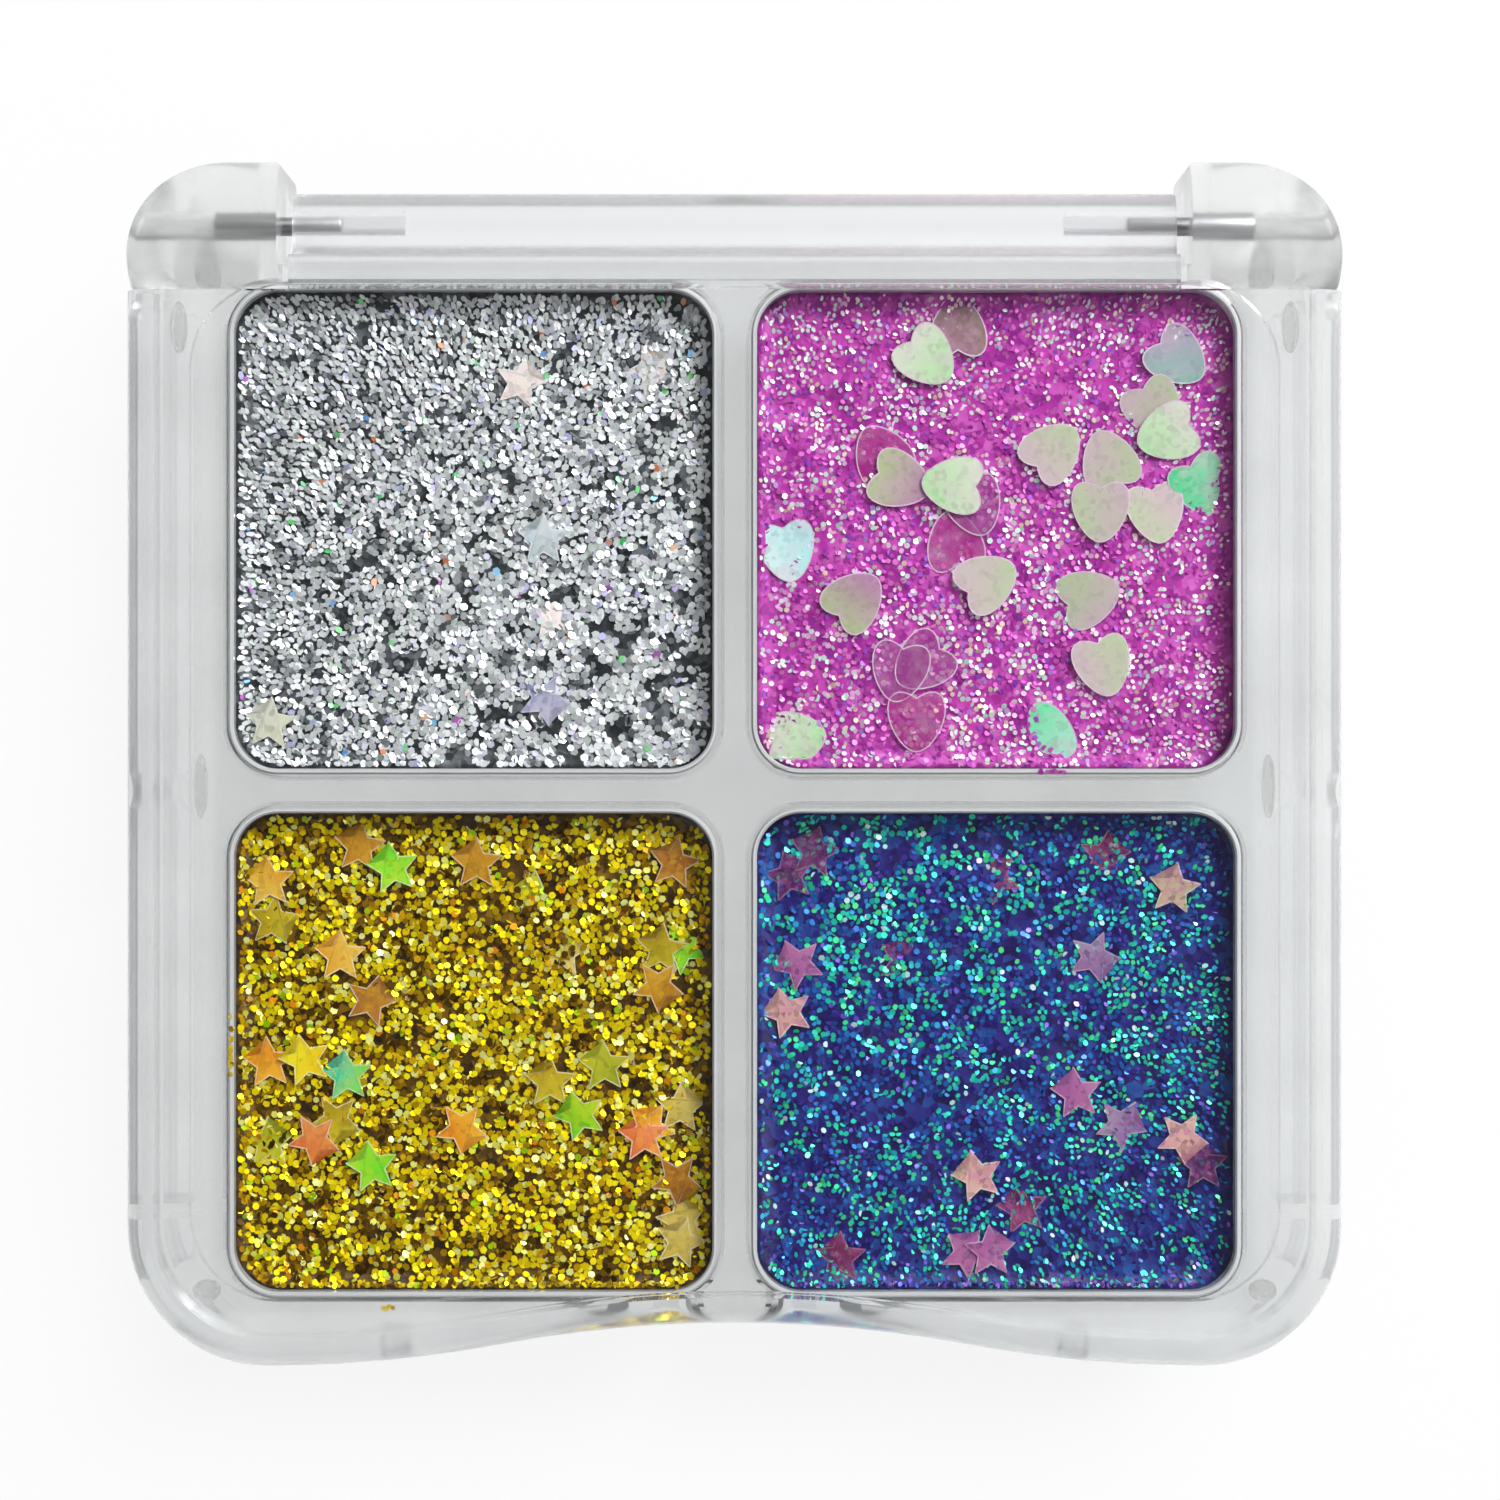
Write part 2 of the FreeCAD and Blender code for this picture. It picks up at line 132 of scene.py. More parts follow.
def relief(finish, surface, source, height_mm, strength):
    """Fine unevenness of the surface, that high."""
    bump = finish.node_tree.nodes.new("ShaderNodeBump")
    bump.inputs["Distance"].default_value = height_mm * MM
    bump.inputs["Strength"].default_value = strength
    finish.node_tree.links.new(source, bump.inputs["Height"])
    finish.node_tree.links.new(bump.outputs["Normal"], surface.inputs["Normal"])


def clear_plastic(name, tint, cloudy_tint, clearness, roughness, shade):
    """Clear moulded acrylic, milky where its clearness is below 1. Light that falls on something matte
    behind it passes straight through, dimmed by shade at each face."""
    finish, surface = new_finish(name)
    links = finish.node_tree.links
    surface.inputs["Transmission Weight"].default_value = clearness
    surface.inputs["IOR"].default_value = ACRYLIC_IOR
    clouds = blobs_of(finish, CLOUD_SIZE)
    links.new(shades(finish, clouds, (0.35, tint), (0.75, cloudy_tint)), surface.inputs["Base Color"])
    uneven = between(finish, blobs_of(finish, HAZE_SIZE), 0.5 * roughness, 1.5 * roughness)
    links.new(uneven, surface.inputs["Roughness"])
    relief(finish, surface, blobs_of(finish, WARP_SIZE, 1.0), WARP_HEIGHT, WARP_STRENGTH)
    passing = finish.node_tree.nodes.new("ShaderNodeBsdfTransparent")
    passing.inputs["Color"].default_value = shade
    path = finish.node_tree.nodes.new("ShaderNodeLightPath")
    onward = largest(finish, path.outputs["Is Shadow Ray"], path.outputs["Is Diffuse Ray"])
    either = finish.node_tree.nodes.new("ShaderNodeMixShader")
    links.new(onward, either.inputs["Fac"])
    links.new(surface.outputs["BSDF"], either.inputs[1])
    links.new(passing.outputs["BSDF"], either.inputs[2])
    links.new(either.outputs["Shader"], finish.node_tree.nodes["Material Output"].inputs["Surface"])
    return finish, surface


def place_along(finish, axis):
    """How far along X, Y or Z a point of the object lies."""
    tree = finish.node_tree
    place = tree.nodes.new("ShaderNodeTexCoord")
    part = tree.nodes.new("ShaderNodeSeparateXYZ")
    tree.links.new(place.outputs["Object"], part.inputs["Vector"])
    return part.outputs[axis]


def dress(node_name, finish):
    """A CAD node gets this finish in place of its plain one."""
    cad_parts[node_name].material_slots[0].material = finish


base_acrylic, base_surface = clear_plastic(
    "base_acrylic", tone(238, 239, 239), tone(226, 227, 227),
    clearness=BASE_DECK_CLEARNESS, roughness=BASE_ROUGHNESS, shade=tone(247, 248, 248),
)
base_milk = between(
    base_acrylic, place_along(base_acrylic, "Z"), BASE_SKIRT_CLEARNESS, BASE_DECK_CLEARNESS,
    BASE_CLEAR_TO * MM, BASE_MILKY_FROM * MM,
)
base_acrylic.node_tree.links.new(base_milk, base_surface.inputs["Transmission Weight"])
base_haze = largest(
    base_acrylic,
    base_surface.inputs["Roughness"].links[0].from_socket,
    between(
        base_acrylic, place_along(base_acrylic, "Y"), 0, EAR_ROUGHNESS,
        EAR_CLEAR_TO * MM, EAR_HAZY_FROM * MM,
    ),
)
base_acrylic.node_tree.links.new(base_haze, base_surface.inputs["Roughness"])
base_surface.inputs["Coat Weight"].default_value = BASE_COAT
base_surface.inputs["Coat Roughness"].default_value = BASE_COAT_ROUGHNESS
dress("case_base", base_acrylic)

# Moulding marks. The pins that pushed the base out of its mould have left eight low dished
# bosses on it: two in the front corners, two long ones beside the deck, two on the border in
# front of the ears and two under the ears. They are part of the same clear moulding.
DECK_Z = 7.0
BORDER_Z = 8.0
EAR_ROOF_Z = 4.55
MARK_SIDES = 24
MARK_HEIGHT = 0.45
MARK_DISH = 0.4
MARK_RIM_SHARE = 0.35
MARK_SINK = 0.02
MARK_CLEARNESS = 0.97
MARK_ROUGHNESS = 0.03
MARKS = (
    (28.45, -28.5, BORDER_Z, 1, 0.75, 0.6),
    (28.88, -1.35, DECK_Z, 1, 0.36, 1.75),
    (29.95, 23.4, BORDER_Z, 1, 0.45, 1.4),
    (28.7, 28.0, EAR_ROOF_Z, -1, 0.8, 1.1),
)


def put_piece(name, mesh_maker, *finishes):
    """A new object in the scene from a finished bmesh, with its finishes."""
    mesh = bpy.data.meshes.new(name)
    mesh_maker.to_mesh(mesh)
    mesh_maker.free()
    for finish in finishes:
        mesh.materials.append(finish)
    piece = bpy.data.objects.new(name, mesh)
    bpy.context.scene.collection.objects.link(piece)
    return piece


def items_of(geometry, kind):
    """The verts, edges or faces among what a mesh operator gives back."""
    return [item for item in geometry if isinstance(item, kind)]


def copy_pattern(mesh_maker, pattern):
    """One more copy of a pattern of verts, edges and faces, as its verts and its faces."""
    copied = bmesh.ops.duplicate(mesh_maker, geom=pattern)["geom"]
    return items_of(copied, bmesh.types.BMVert), items_of(copied, bmesh.types.BMFace)


def drop_pattern(mesh_maker, pattern):
    """Takes away the pattern that the others were copied from."""
    bmesh.ops.delete(mesh_maker, geom=items_of(pattern, bmesh.types.BMVert), context="VERTS")


def dished_boss(marks):
    """A low boss of radius 1 with a dished top, as a pattern to copy."""
    foot = bmesh.ops.create_circle(marks, cap_ends=True, segments=MARK_SIDES, radius=1)["verts"]
    raised = bmesh.ops.extrude_face_region(marks, geom=[foot[0].link_faces[0]])["geom"]
    top = items_of(raised, bmesh.types.BMFace)
    bmesh.ops.translate(marks, verts=items_of(raised, bmesh.types.BMVert), vec=(0, 0, MARK_HEIGHT))
    bmesh.ops.inset_region(marks, faces=top, thickness=MARK_RIM_SHARE, use_even_offset=True)
    bmesh.ops.translate(marks, verts=top[0].verts[:], vec=(0, 0, -MARK_DISH))
    return marks.verts[:] + marks.edges[:] + marks.faces[:]


mark_acrylic = clear_plastic(
    "mark_acrylic", tone(236, 236, 235), tone(220, 220, 219),
    clearness=MARK_CLEARNESS, roughness=MARK_ROUGHNESS, shade=tone(235, 236, 237),
)[0]
marks = bmesh.new()
boss = dished_boss(marks)
for mark_x, mark_y, mark_z, mark_way, mark_half_x, mark_half_y in MARKS:
    for side in (-1, 1):
        place = (
            Matrix.Scale(MM, 4)
            @ Matrix.Translation((side * mark_x, mark_y, mark_z - mark_way * MARK_SINK))
            @ Matrix.Diagonal((mark_half_x, mark_half_y, mark_way, 1))
        )
        bmesh.ops.transform(marks, verts=copy_pattern(marks, boss)[0], matrix=place)
drop_pattern(marks, boss)
bmesh.ops.recalc_face_normals(marks, faces=marks.faces)
mark_piece = put_piece("moulding_marks", marks, mark_acrylic)
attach(mark_piece, "base")

# Tapes. A square of white double-sided foam tape holds each pan in its well. It only shows
# from underneath, through the clear floor of the well.
GLITTERS = ("silver", "pink", "gold", "blue")

tape_foam, tape_surface = new_finish("tape_foam")
tape_cells = blobs_of(tape_foam, 0.4)
tape_foam.node_tree.links.new(
    shades(tape_foam, tape_cells, (0.3, tone(228, 227, 222)), (0.7, tone(240, 239, 236))),
    tape_surface.inputs["Base Color"],
)
tape_surface.inputs["Roughness"].default_value = 0.75
relief(tape_foam, tape_surface, tape_cells, 0.05, 0.4)
for glitter in GLITTERS:
    dress(glitter + "_tape", tape_foam)

# Pans. Each shade has its own thin square pan of clear plastic, moulded with a bevelled rim
# and dropped into its well. They stay as the CAD made them, in a smoother plastic than the base
# that is clear below and milky at the rim.
PAN_CLEAR_TO = 5.4
PAN_MILKY_FROM = 6.2
PAN_WALL_CLEARNESS = 0.92
PAN_RIM_CLEARNESS = 0.5
PAN_ROUGHNESS = 0.04
PAN_WALL_SHADE = tone(240, 241, 242)
PAN_RIM_SHADE = tone(84, 86, 90)

pan_acrylic, pan_surface = clear_plastic(
    "pan_acrylic", tone(252, 252, 253), tone(244, 245, 246),
    clearness=PAN_RIM_CLEARNESS, roughness=PAN_ROUGHNESS, shade=PAN_RIM_SHADE,
)
pan_rim = between(
    pan_acrylic, place_along(pan_acrylic, "Z"), 0, 1,
    PAN_CLEAR_TO * MM, PAN_MILKY_FROM * MM,
)
pan_acrylic.node_tree.links.new(
    between(pan_acrylic, pan_rim, PAN_WALL_CLEARNESS, PAN_RIM_CLEARNESS),
    pan_surface.inputs["Transmission Weight"],
)
pan_acrylic.node_tree.links.new(
    shades(pan_acrylic, pan_rim, (0, PAN_WALL_SHADE), (1, PAN_RIM_SHADE)),
    pan_acrylic.node_tree.nodes["Transparent BSDF"].inputs["Color"],
)
for glitter in GLITTERS:
    dress(glitter + "_pan", pan_acrylic)

# Glitter gels. Each pan is filled with a tinted gel that has set with an uneven, glossy top
# and creeps up the walls of the pan. A gel is a slab with rounded corners and a rippled top.
GEL_SEED = {"silver": 3.1, "pink": 11.7, "gold": 23.9, "blue": 37.3}
GEL_GRID = 72
GEL_CORNER_R = 2.36
GEL_RIPPLE = 0.13
GEL_RIPPLE_LENGTH = 2.6
GEL_FINE_RIPPLE = 0.05
GEL_FINE_LENGTH = 0.8
GEL_FINE_SEED = 5
GEL_CREEP = 0.45
GEL_CREEP_REACH = 1.1
GEL_STEP = 0.1
GEL_FLOOR_DROP = 3.95
GEL_SPOT_SHARE = 0.6
GEL_ROUGHNESS = 0.3
GEL_COAT = 0.25
GEL_COAT_ROUGHNESS = 0.12


def pan_middle(glitter):
    """The middle of a pan's gel, at the level of its top, and half its width, in millimetres."""
    low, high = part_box(glitter + "_gel")
    middle = (low + high) / 2
    return Vector((middle.x, middle.y, high.z)) / MM, (high.x - low.x) / 2 / MM


def noise_at(x, y, length, seed):
    """Smooth noise of that length at a point of a pan."""
    return noise.noise(Vector((x / length, y / length, seed)))


def gel_height(glitter, half, x, y):
    """How far the gel's top stands above its level at a point of the pan, in millimetres."""
    seed = GEL_SEED[glitter]
    ripple = GEL_RIPPLE * noise_at(x, y, GEL_RIPPLE_LENGTH, seed)
    ripple += GEL_FINE_RIPPLE * noise_at(x, y, GEL_FINE_LENGTH, seed + GEL_FINE_SEED)
    to_wall = half - max(abs(x), abs(y))
    creep = max(0.0, 1 - to_wall / GEL_CREEP_REACH)
    return ripple + GEL_CREEP * creep * creep


def gel_slope(glitter, half, x, y):
    """The turn that lays a flat thing on the slope of the gel's top at a point."""
    rise_x = gel_height(glitter, half, x + GEL_STEP, y) - gel_height(glitter, half, x - GEL_STEP, y)
    rise_y = gel_height(glitter, half, x, y + GEL_STEP) - gel_height(glitter, half, x, y - GEL_STEP)
    upright = Vector((-rise_x, -rise_y, 2 * GEL_STEP))
    return Vector((0, 0, 1)).rotation_difference(upright).to_matrix().to_4x4()


def rounded_corner(x, y, half, radius):
    """A point of a square, drawn in so that the square's corners become arcs."""
    over_x = abs(x) - (half - radius)
    over_y = abs(y) - (half - radius)
    if over_x <= 0 or over_y <= 0:
        return x, y
    pull = max(over_x, over_y) / math.hypot(over_x, over_y)
    return (
        math.copysign(half - radius + over_x * pull, x),
        math.copysign(half - radius + over_y * pull, y),
    )


def gel_finish(name, deep, mid, pale, cell_mm):
    """Tinted gel, with the soft spots of flakes that lie deep in it."""
    finish, surface = new_finish(name)
    tree = finish.node_tree
    place = tree.nodes.new("ShaderNodeTexCoord")
    cells = tree.nodes.new("ShaderNodeTexVoronoi")
    cells.inputs["Scale"].default_value = 1 / (cell_mm * MM)
    tree.links.new(place.outputs["Object"], cells.inputs["Vector"])
    part = tree.nodes.new("ShaderNodeSeparateColor")
    tree.links.new(cells.outputs["Color"], part.inputs["Color"])
    blend = tree.nodes.new("ShaderNodeMath")
    blend.operation = "MULTIPLY_ADD"
    blend.inputs[1].default_value = GEL_SPOT_SHARE
    tree.links.new(part.outputs["Red"], blend.inputs[0])
    tree.links.new(between(finish, blobs_of(finish, 1.8), -0.1, 0.5), blend.inputs[2])
    tree.links.new(
        shades(finish, blend.outputs["Value"], (0.2, deep), (0.55, mid), (0.95, pale)),
        surface.inputs["Base Color"],
    )
    surface.inputs["Roughness"].default_value = GEL_ROUGHNESS
    surface.inputs["Coat Weight"].default_value = GEL_COAT
    surface.inputs["Coat Roughness"].default_value = GEL_COAT_ROUGHNESS
    relief(finish, surface, cells.outputs["Distance"], 0.06, 0.5)
    return finish


def pour_gel(glitter, finish):
    """The gel of one pan, in place of its plain CAD slab."""
    middle, half = pan_middle(glitter)
    slab = bmesh.new()
    bmesh.ops.create_grid(slab, x_segments=GEL_GRID, y_segments=GEL_GRID, size=half)
    for vert in slab.verts:
        x, y = rounded_corner(vert.co.x, vert.co.y, half, GEL_CORNER_R)
        vert.co = (x, y, gel_height(glitter, half, x, y))
    rim = [edge for edge in slab.edges if edge.is_boundary]
    wall = bmesh.ops.extrude_edge_only(slab, edges=rim)["geom"]
    for vert in items_of(wall, bmesh.types.BMVert):
        vert.co.z = -GEL_FLOOR_DROP
    bmesh.ops.holes_fill(slab, edges=[edge for edge in slab.edges if edge.is_boundary], sides=0)
    bmesh.ops.recalc_face_normals(slab, faces=slab.faces)
    for face in slab.faces:
        face.smooth = face.normal.z > 0.3
    bmesh.ops.transform(slab, verts=slab.verts, matrix=Matrix.Scale(MM, 4) @ Matrix.Translation(middle))
    gel = put_piece(glitter + "_gel_fill", slab, finish)
    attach(gel, "base")
    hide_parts(glitter + "_gel")


pour_gel("silver", gel_finish("silver_gel", tone(28, 32, 34), tone(52, 57, 60), tone(130, 134, 138), 0.4))
pour_gel("pink", gel_finish("pink_gel", tone(150, 30, 142), tone(196, 54, 174), tone(224, 110, 204), 0.5))
pour_gel("gold", gel_finish("gold_gel", tone(34, 20, 0), tone(86, 58, 0), tone(156, 116, 0), 0.4))
pour_gel("blue", gel_finish("blue_gel", tone(24, 12, 76), tone(42, 28, 118), tone(36, 90, 166), 0.5))

# Glitter flakes. Thousands of hexagons punched from metallised film lie in the top of each
# gel, side by side or in two layers, most of them nearly flat. Their colours are partly painted
# light: flakes that catch it are painted as light glints, gathered in clusters, and the rest are
# painted darker as shade, both along with the flakes' own colours. Those far from one spot of the
# pan stand more on edge and point at it.
FLAKE_THICKNESS = 0.02
FLAKE_VERTS = 12
FLAKE_FACES = 8
FLAKE_SHAKE = 0.22
FLAKE_TILT = 17
FLAKE_LEAN = 14
FLAKE_NARROWING = 0.5
FLAKE_SIZES = (0.8, 1.1)
FLAKE_LEAN_RANGE = (0.6, 1.1)
FLAKE_UNEVEN = 0.08
AIM_SPREAD = 22
AIM_LOST_NEAR = 130
GAP_LENGTHS = (1.3, 0.5)
GAP_FINE_SHARE = 0.5
GAP_SEEDS = (20, 40)
# Noise that gathers the painted glints into clusters.
GLINT_CLUSTER_LENGTHS = (1.1, 0.45)
GLINT_CLUSTER_FINE_SHARE = 0.6
GLINT_CLUSTER_SEEDS = (60, 80)
PATCH_FRAY = 0.15


def flake_finish(name, metallic, gloss, roughness):
    """Metallised film, coloured flake by flake, in colours that paint glints and shade as well as the flakes'
    own colours.
    """
    finish, surface = new_finish(name)
    tree = finish.node_tree
    paint = tree.nodes.new("ShaderNodeAttribute")
    paint.attribute_name = "flake_colour_and_glint"
    tree.links.new(paint.outputs["Color"], surface.inputs["Base Color"])
    uneven = between(finish, blobs_of(finish, 0.3), roughness - FLAKE_UNEVEN, roughness + FLAKE_UNEVEN)
    tree.links.new(uneven, surface.inputs["Roughness"])
    surface.inputs["Metallic"].default_value = metallic
    surface.inputs["Specular IOR Level"].default_value = gloss
    return finish


def many_flakes(count, radius):
    """A bmesh of that many equal hexagonal flakes, all at the origin."""
    flakes = bmesh.new()
    bmesh.ops.create_circle(flakes, cap_ends=True, segments=6, radius=radius)
    top = bmesh.ops.extrude_face_region(flakes, geom=flakes.faces[:])["geom"]
    bmesh.ops.translate(flakes, verts=items_of(top, bmesh.types.BMVert), vec=(0, 0, FLAKE_THICKNESS))
    bmesh.ops.recalc_face_normals(flakes, faces=flakes.faces)
    made = 1
    while made < count:
        more = min(made, count - made)
        flakes.verts.ensure_lookup_table()
        flakes.faces.ensure_lookup_table()
        faces = flakes.faces[: more * FLAKE_FACES]
        edges = {edge for face in faces for edge in face.edges}
        bmesh.ops.duplicate(flakes, geom=flakes.verts[: more * FLAKE_VERTS] + list(edges) + faces)
        made += more
    return flakes


def lay_flakes(name, radius, lays, finish):
    """A piece with one flake for each pair of a place, in millimetres, and a colour."""
    flakes = many_flakes(len(lays), radius)
    paint = flakes.faces.layers.float_color.new("flake_colour_and_glint")
    flakes.verts.ensure_lookup_table()
    flakes.faces.ensure_lookup_table()
    for number, (place, colour) in enumerate(lays):
        metres = Matrix.Scale(MM, 4) @ place
        for vert in flakes.verts[number * FLAKE_VERTS : (number + 1) * FLAKE_VERTS]:
            vert.co = metres @ vert.co
        for face in flakes.faces[number * FLAKE_FACES : (number + 1) * FLAKE_FACES]:
            face[paint] = colour
    piece = put_piece(name, flakes, finish)
    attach(piece, "base")
    return piece


def flake_colour_and_glint(palette, dice):
    """A colour between the two of one entry of a palette, drawn by the entries' weights."""
    entry = dice.choices(palette, [weight for weight, first, second in palette])[0]
    blend = dice.random()
    return [first + (second - first) * blend for first, second in zip(entry[1], entry[2])]


def flake_spots(room, spacing, dice):
    """Spots all over a square with rounded corners, on a honeycomb that has been shaken."""
    row_step = spacing * math.sqrt(0.75)
    for row in range(int(2 * room / row_step) + 1):
        for column in range(int(2 * room / spacing) + 1):
            x = (column + 0.5 * (row % 2)) * spacing - room + dice.gauss(0, FLAKE_SHAKE * spacing)
            y = row * row_step - room + dice.gauss(0, FLAKE_SHAKE * spacing)
            yield rounded_corner(min(room, max(-room, x)), min(room, max(-room, y)), room, GEL_CORNER_R)


def strew(glitter, radius, spacing, levels, bare, glint_above, glinting_colours, shaded_colours, lean, dice, finish):
    """The flakes of one pan, in layers between two levels each. Lean is a spot with its reach, its fade
    and its strength. Noise below bare, near the spot and far from it, leaves gaps. Where the clustering
    noise is high a flake takes its colour from the first palette, as a painted glint, and elsewhere from
    the second, painted in shade; both palettes also hold the flakes' own colours."""
    middle, half = pan_middle(glitter)
    seed = GEL_SEED[glitter]
    spot_x, spot_y, lean_from, lean_over, lean_most = lean
    bare_near, bare_far = bare
    lays = []
    for lowest, highest in levels:
        for x, y in flake_spots(half - radius, spacing, dice):
            thin = noise_at(x, y, GAP_LENGTHS[0], seed + GAP_SEEDS[0] + highest)
            thin += GAP_FINE_SHARE * noise_at(x, y, GAP_LENGTHS[1], seed + GAP_SEEDS[1] + highest)
            away = Vector((x - spot_x, y - spot_y))
            far = min(1.0, max(0.0, (away.length - lean_from) / lean_over))
            if thin + dice.gauss(0, PATCH_FRAY) < bare_near + (bare_far - bare_near) * far:
                continue
            share = lean_most * far
            tilt = dice.gauss(0, FLAKE_TILT)
            tilt += FLAKE_LEAN * share * dice.choice((-1, 1)) * dice.uniform(*FLAKE_LEAN_RANGE)
            aim_spread = AIM_SPREAD + AIM_LOST_NEAR * (1 - far)
            heading = math.atan2(away.y, away.x) + math.radians(dice.gauss(0, aim_spread))
            size = dice.uniform(*FLAKE_SIZES)
            across = size * (1 - FLAKE_NARROWING * share)
            height = gel_height(glitter, half, x, y) + dice.uniform(lowest, highest)
            place = (
                Matrix.Translation(middle + Vector((x, y, height)))
                @ gel_slope(glitter, half, x, y)
                @ Matrix.Rotation(heading, 4, "Z")
                @ Matrix.Rotation(math.radians(tilt), 4, "X")
                @ Matrix.Rotation(math.radians(dice.gauss(0, FLAKE_TILT)), 4, "Y")
                @ Matrix.Diagonal((size, across, 1, 1))
                @ Matrix.Rotation(dice.uniform(0, math.pi), 4, "Z")
            )
            glint_cluster = noise_at(x, y, GLINT_CLUSTER_LENGTHS[0], seed + GLINT_CLUSTER_SEEDS[0])
            glint_cluster += GLINT_CLUSTER_FINE_SHARE * noise_at(x, y, GLINT_CLUSTER_LENGTHS[1], seed + GLINT_CLUSTER_SEEDS[1])
            palette = glinting_colours if glint_cluster + dice.gauss(0, PATCH_FRAY) > glint_above else shaded_colours
            lays.append((place, flake_colour_and_glint(palette, dice)))
    film = lay_flakes(glitter + "_flakes", radius, lays, finish)


# In each pan, the first palette paints glints on flakes that catch the light and the second paints flakes
# turned into shade, both with the flakes' own colours.
silver_film = flake_finish("silver_film", 0.25, 0.6, 0.3)
strew(
    "silver", radius=0.235, spacing=0.37, levels=((-0.04, 0.03), (0.04, 0.12)),
    bare=(-0.22, -0.54), glint_above=-0.3,
    glinting_colours=[
        (40, tone(214, 217, 218), tone(255, 255, 255)),
        (14, tone(206, 216, 212), tone(240, 248, 244)),
        (8, tone(214, 212, 226), tone(238, 238, 252)),
        (0.9, tone(196, 204, 250), tone(222, 206, 250)),
        (0.3, tone(255, 206, 176), tone(250, 140, 90)),
        (0.3, tone(170, 255, 170), tone(60, 214, 110)),
        (0.25, tone(150, 214, 250), tone(90, 150, 240)),
        (0.1, tone(200, 120, 236), tone(230, 110, 214)),
    ],
    shaded_colours=[
        (50, tone(150, 154, 157), tone(205, 208, 210)),
        (30, tone(90, 96, 100), tone(150, 154, 158)),
        (14, tone(50, 56, 60), tone(96, 102, 106)),
    ],
    lean=(9.0, -9.0, 7.0, 14.0, 0.75), dice=random.Random(41), finish=silver_film,
)
pink_film = flake_finish("pink_film", 0.2, 0.5, 0.3)
strew(
    "pink", radius=0.165, spacing=0.345, levels=((-0.02, 0.06),), bare=(-0.5, -0.5), glint_above=-0.06,
    glinting_colours=[
        (26, tone(250, 220, 242), tone(255, 250, 254)),
        (24, tone(224, 150, 212), tone(244, 196, 232)),
        (18, tone(206, 240, 222), tone(240, 254, 244)),
        (8, tone(190, 130, 232), tone(226, 190, 246)),
        (10, tone(240, 206, 190), tone(252, 230, 208)),
    ],
    shaded_colours=[
        (40, tone(206, 76, 188), tone(234, 124, 208)),
        (24, tone(160, 40, 160), tone(196, 66, 180)),
        (8, tone(150, 60, 196), tone(180, 96, 214)),
    ],
    lean=(-4.9, -5.5, 5.0, 14.0, 0.7), dice=random.Random(42), finish=pink_film,
)
gold_film = flake_finish("gold_film", 0.35, 0.12, 0.3)
strew(
    "gold", radius=0.21, spacing=0.4, levels=((-0.04, 0.03), (0.04, 0.12)), bare=(-0.4, -0.4), glint_above=-0.2,
    glinting_colours=[
        (44, tone(246, 214, 0), tone(255, 238, 20)),
        (19, tone(255, 247, 70), tone(255, 254, 160)),
        (12, tone(176, 142, 0), tone(210, 180, 4)),
        (2, tone(214, 124, 0), tone(236, 154, 20)),
        (2, tone(160, 210, 10), tone(200, 230, 30)),
    ],
    shaded_colours=[
        (34, tone(160, 118, 0), tone(216, 172, 0)),
        (40, tone(56, 36, 0), tone(114, 82, 0)),
    ],
    lean=(0.0, 0.0, 6.0, 18.0, 0.3), dice=random.Random(43), finish=gold_film,
)
blue_film = flake_finish("blue_film", 0.3, 0.35, 0.3)
strew(
    "blue", radius=0.18, spacing=0.35, levels=((-0.02, 0.07),), bare=(-0.45, -0.45), glint_above=0.0,
    glinting_colours=[
        (44, tone(16, 176, 170), tone(60, 248, 206)),
        (16, tone(36, 224, 146), tone(100, 250, 164)),
        (14, tone(40, 160, 220), tone(76, 212, 244)),
        (5, tone(180, 244, 240), tone(232, 254, 252)),
    ],
    shaded_colours=[
        (34, tone(30, 78, 168), tone(40, 122, 204)),
        (32, tone(38, 26, 118), tone(54, 46, 152)),
        (4, tone(96, 66, 190), tone(130, 110, 220)),
    ],
    lean=(-8.4, 10.2, 5.0, 18.0, 0.75), dice=random.Random(44), finish=blue_film,
)
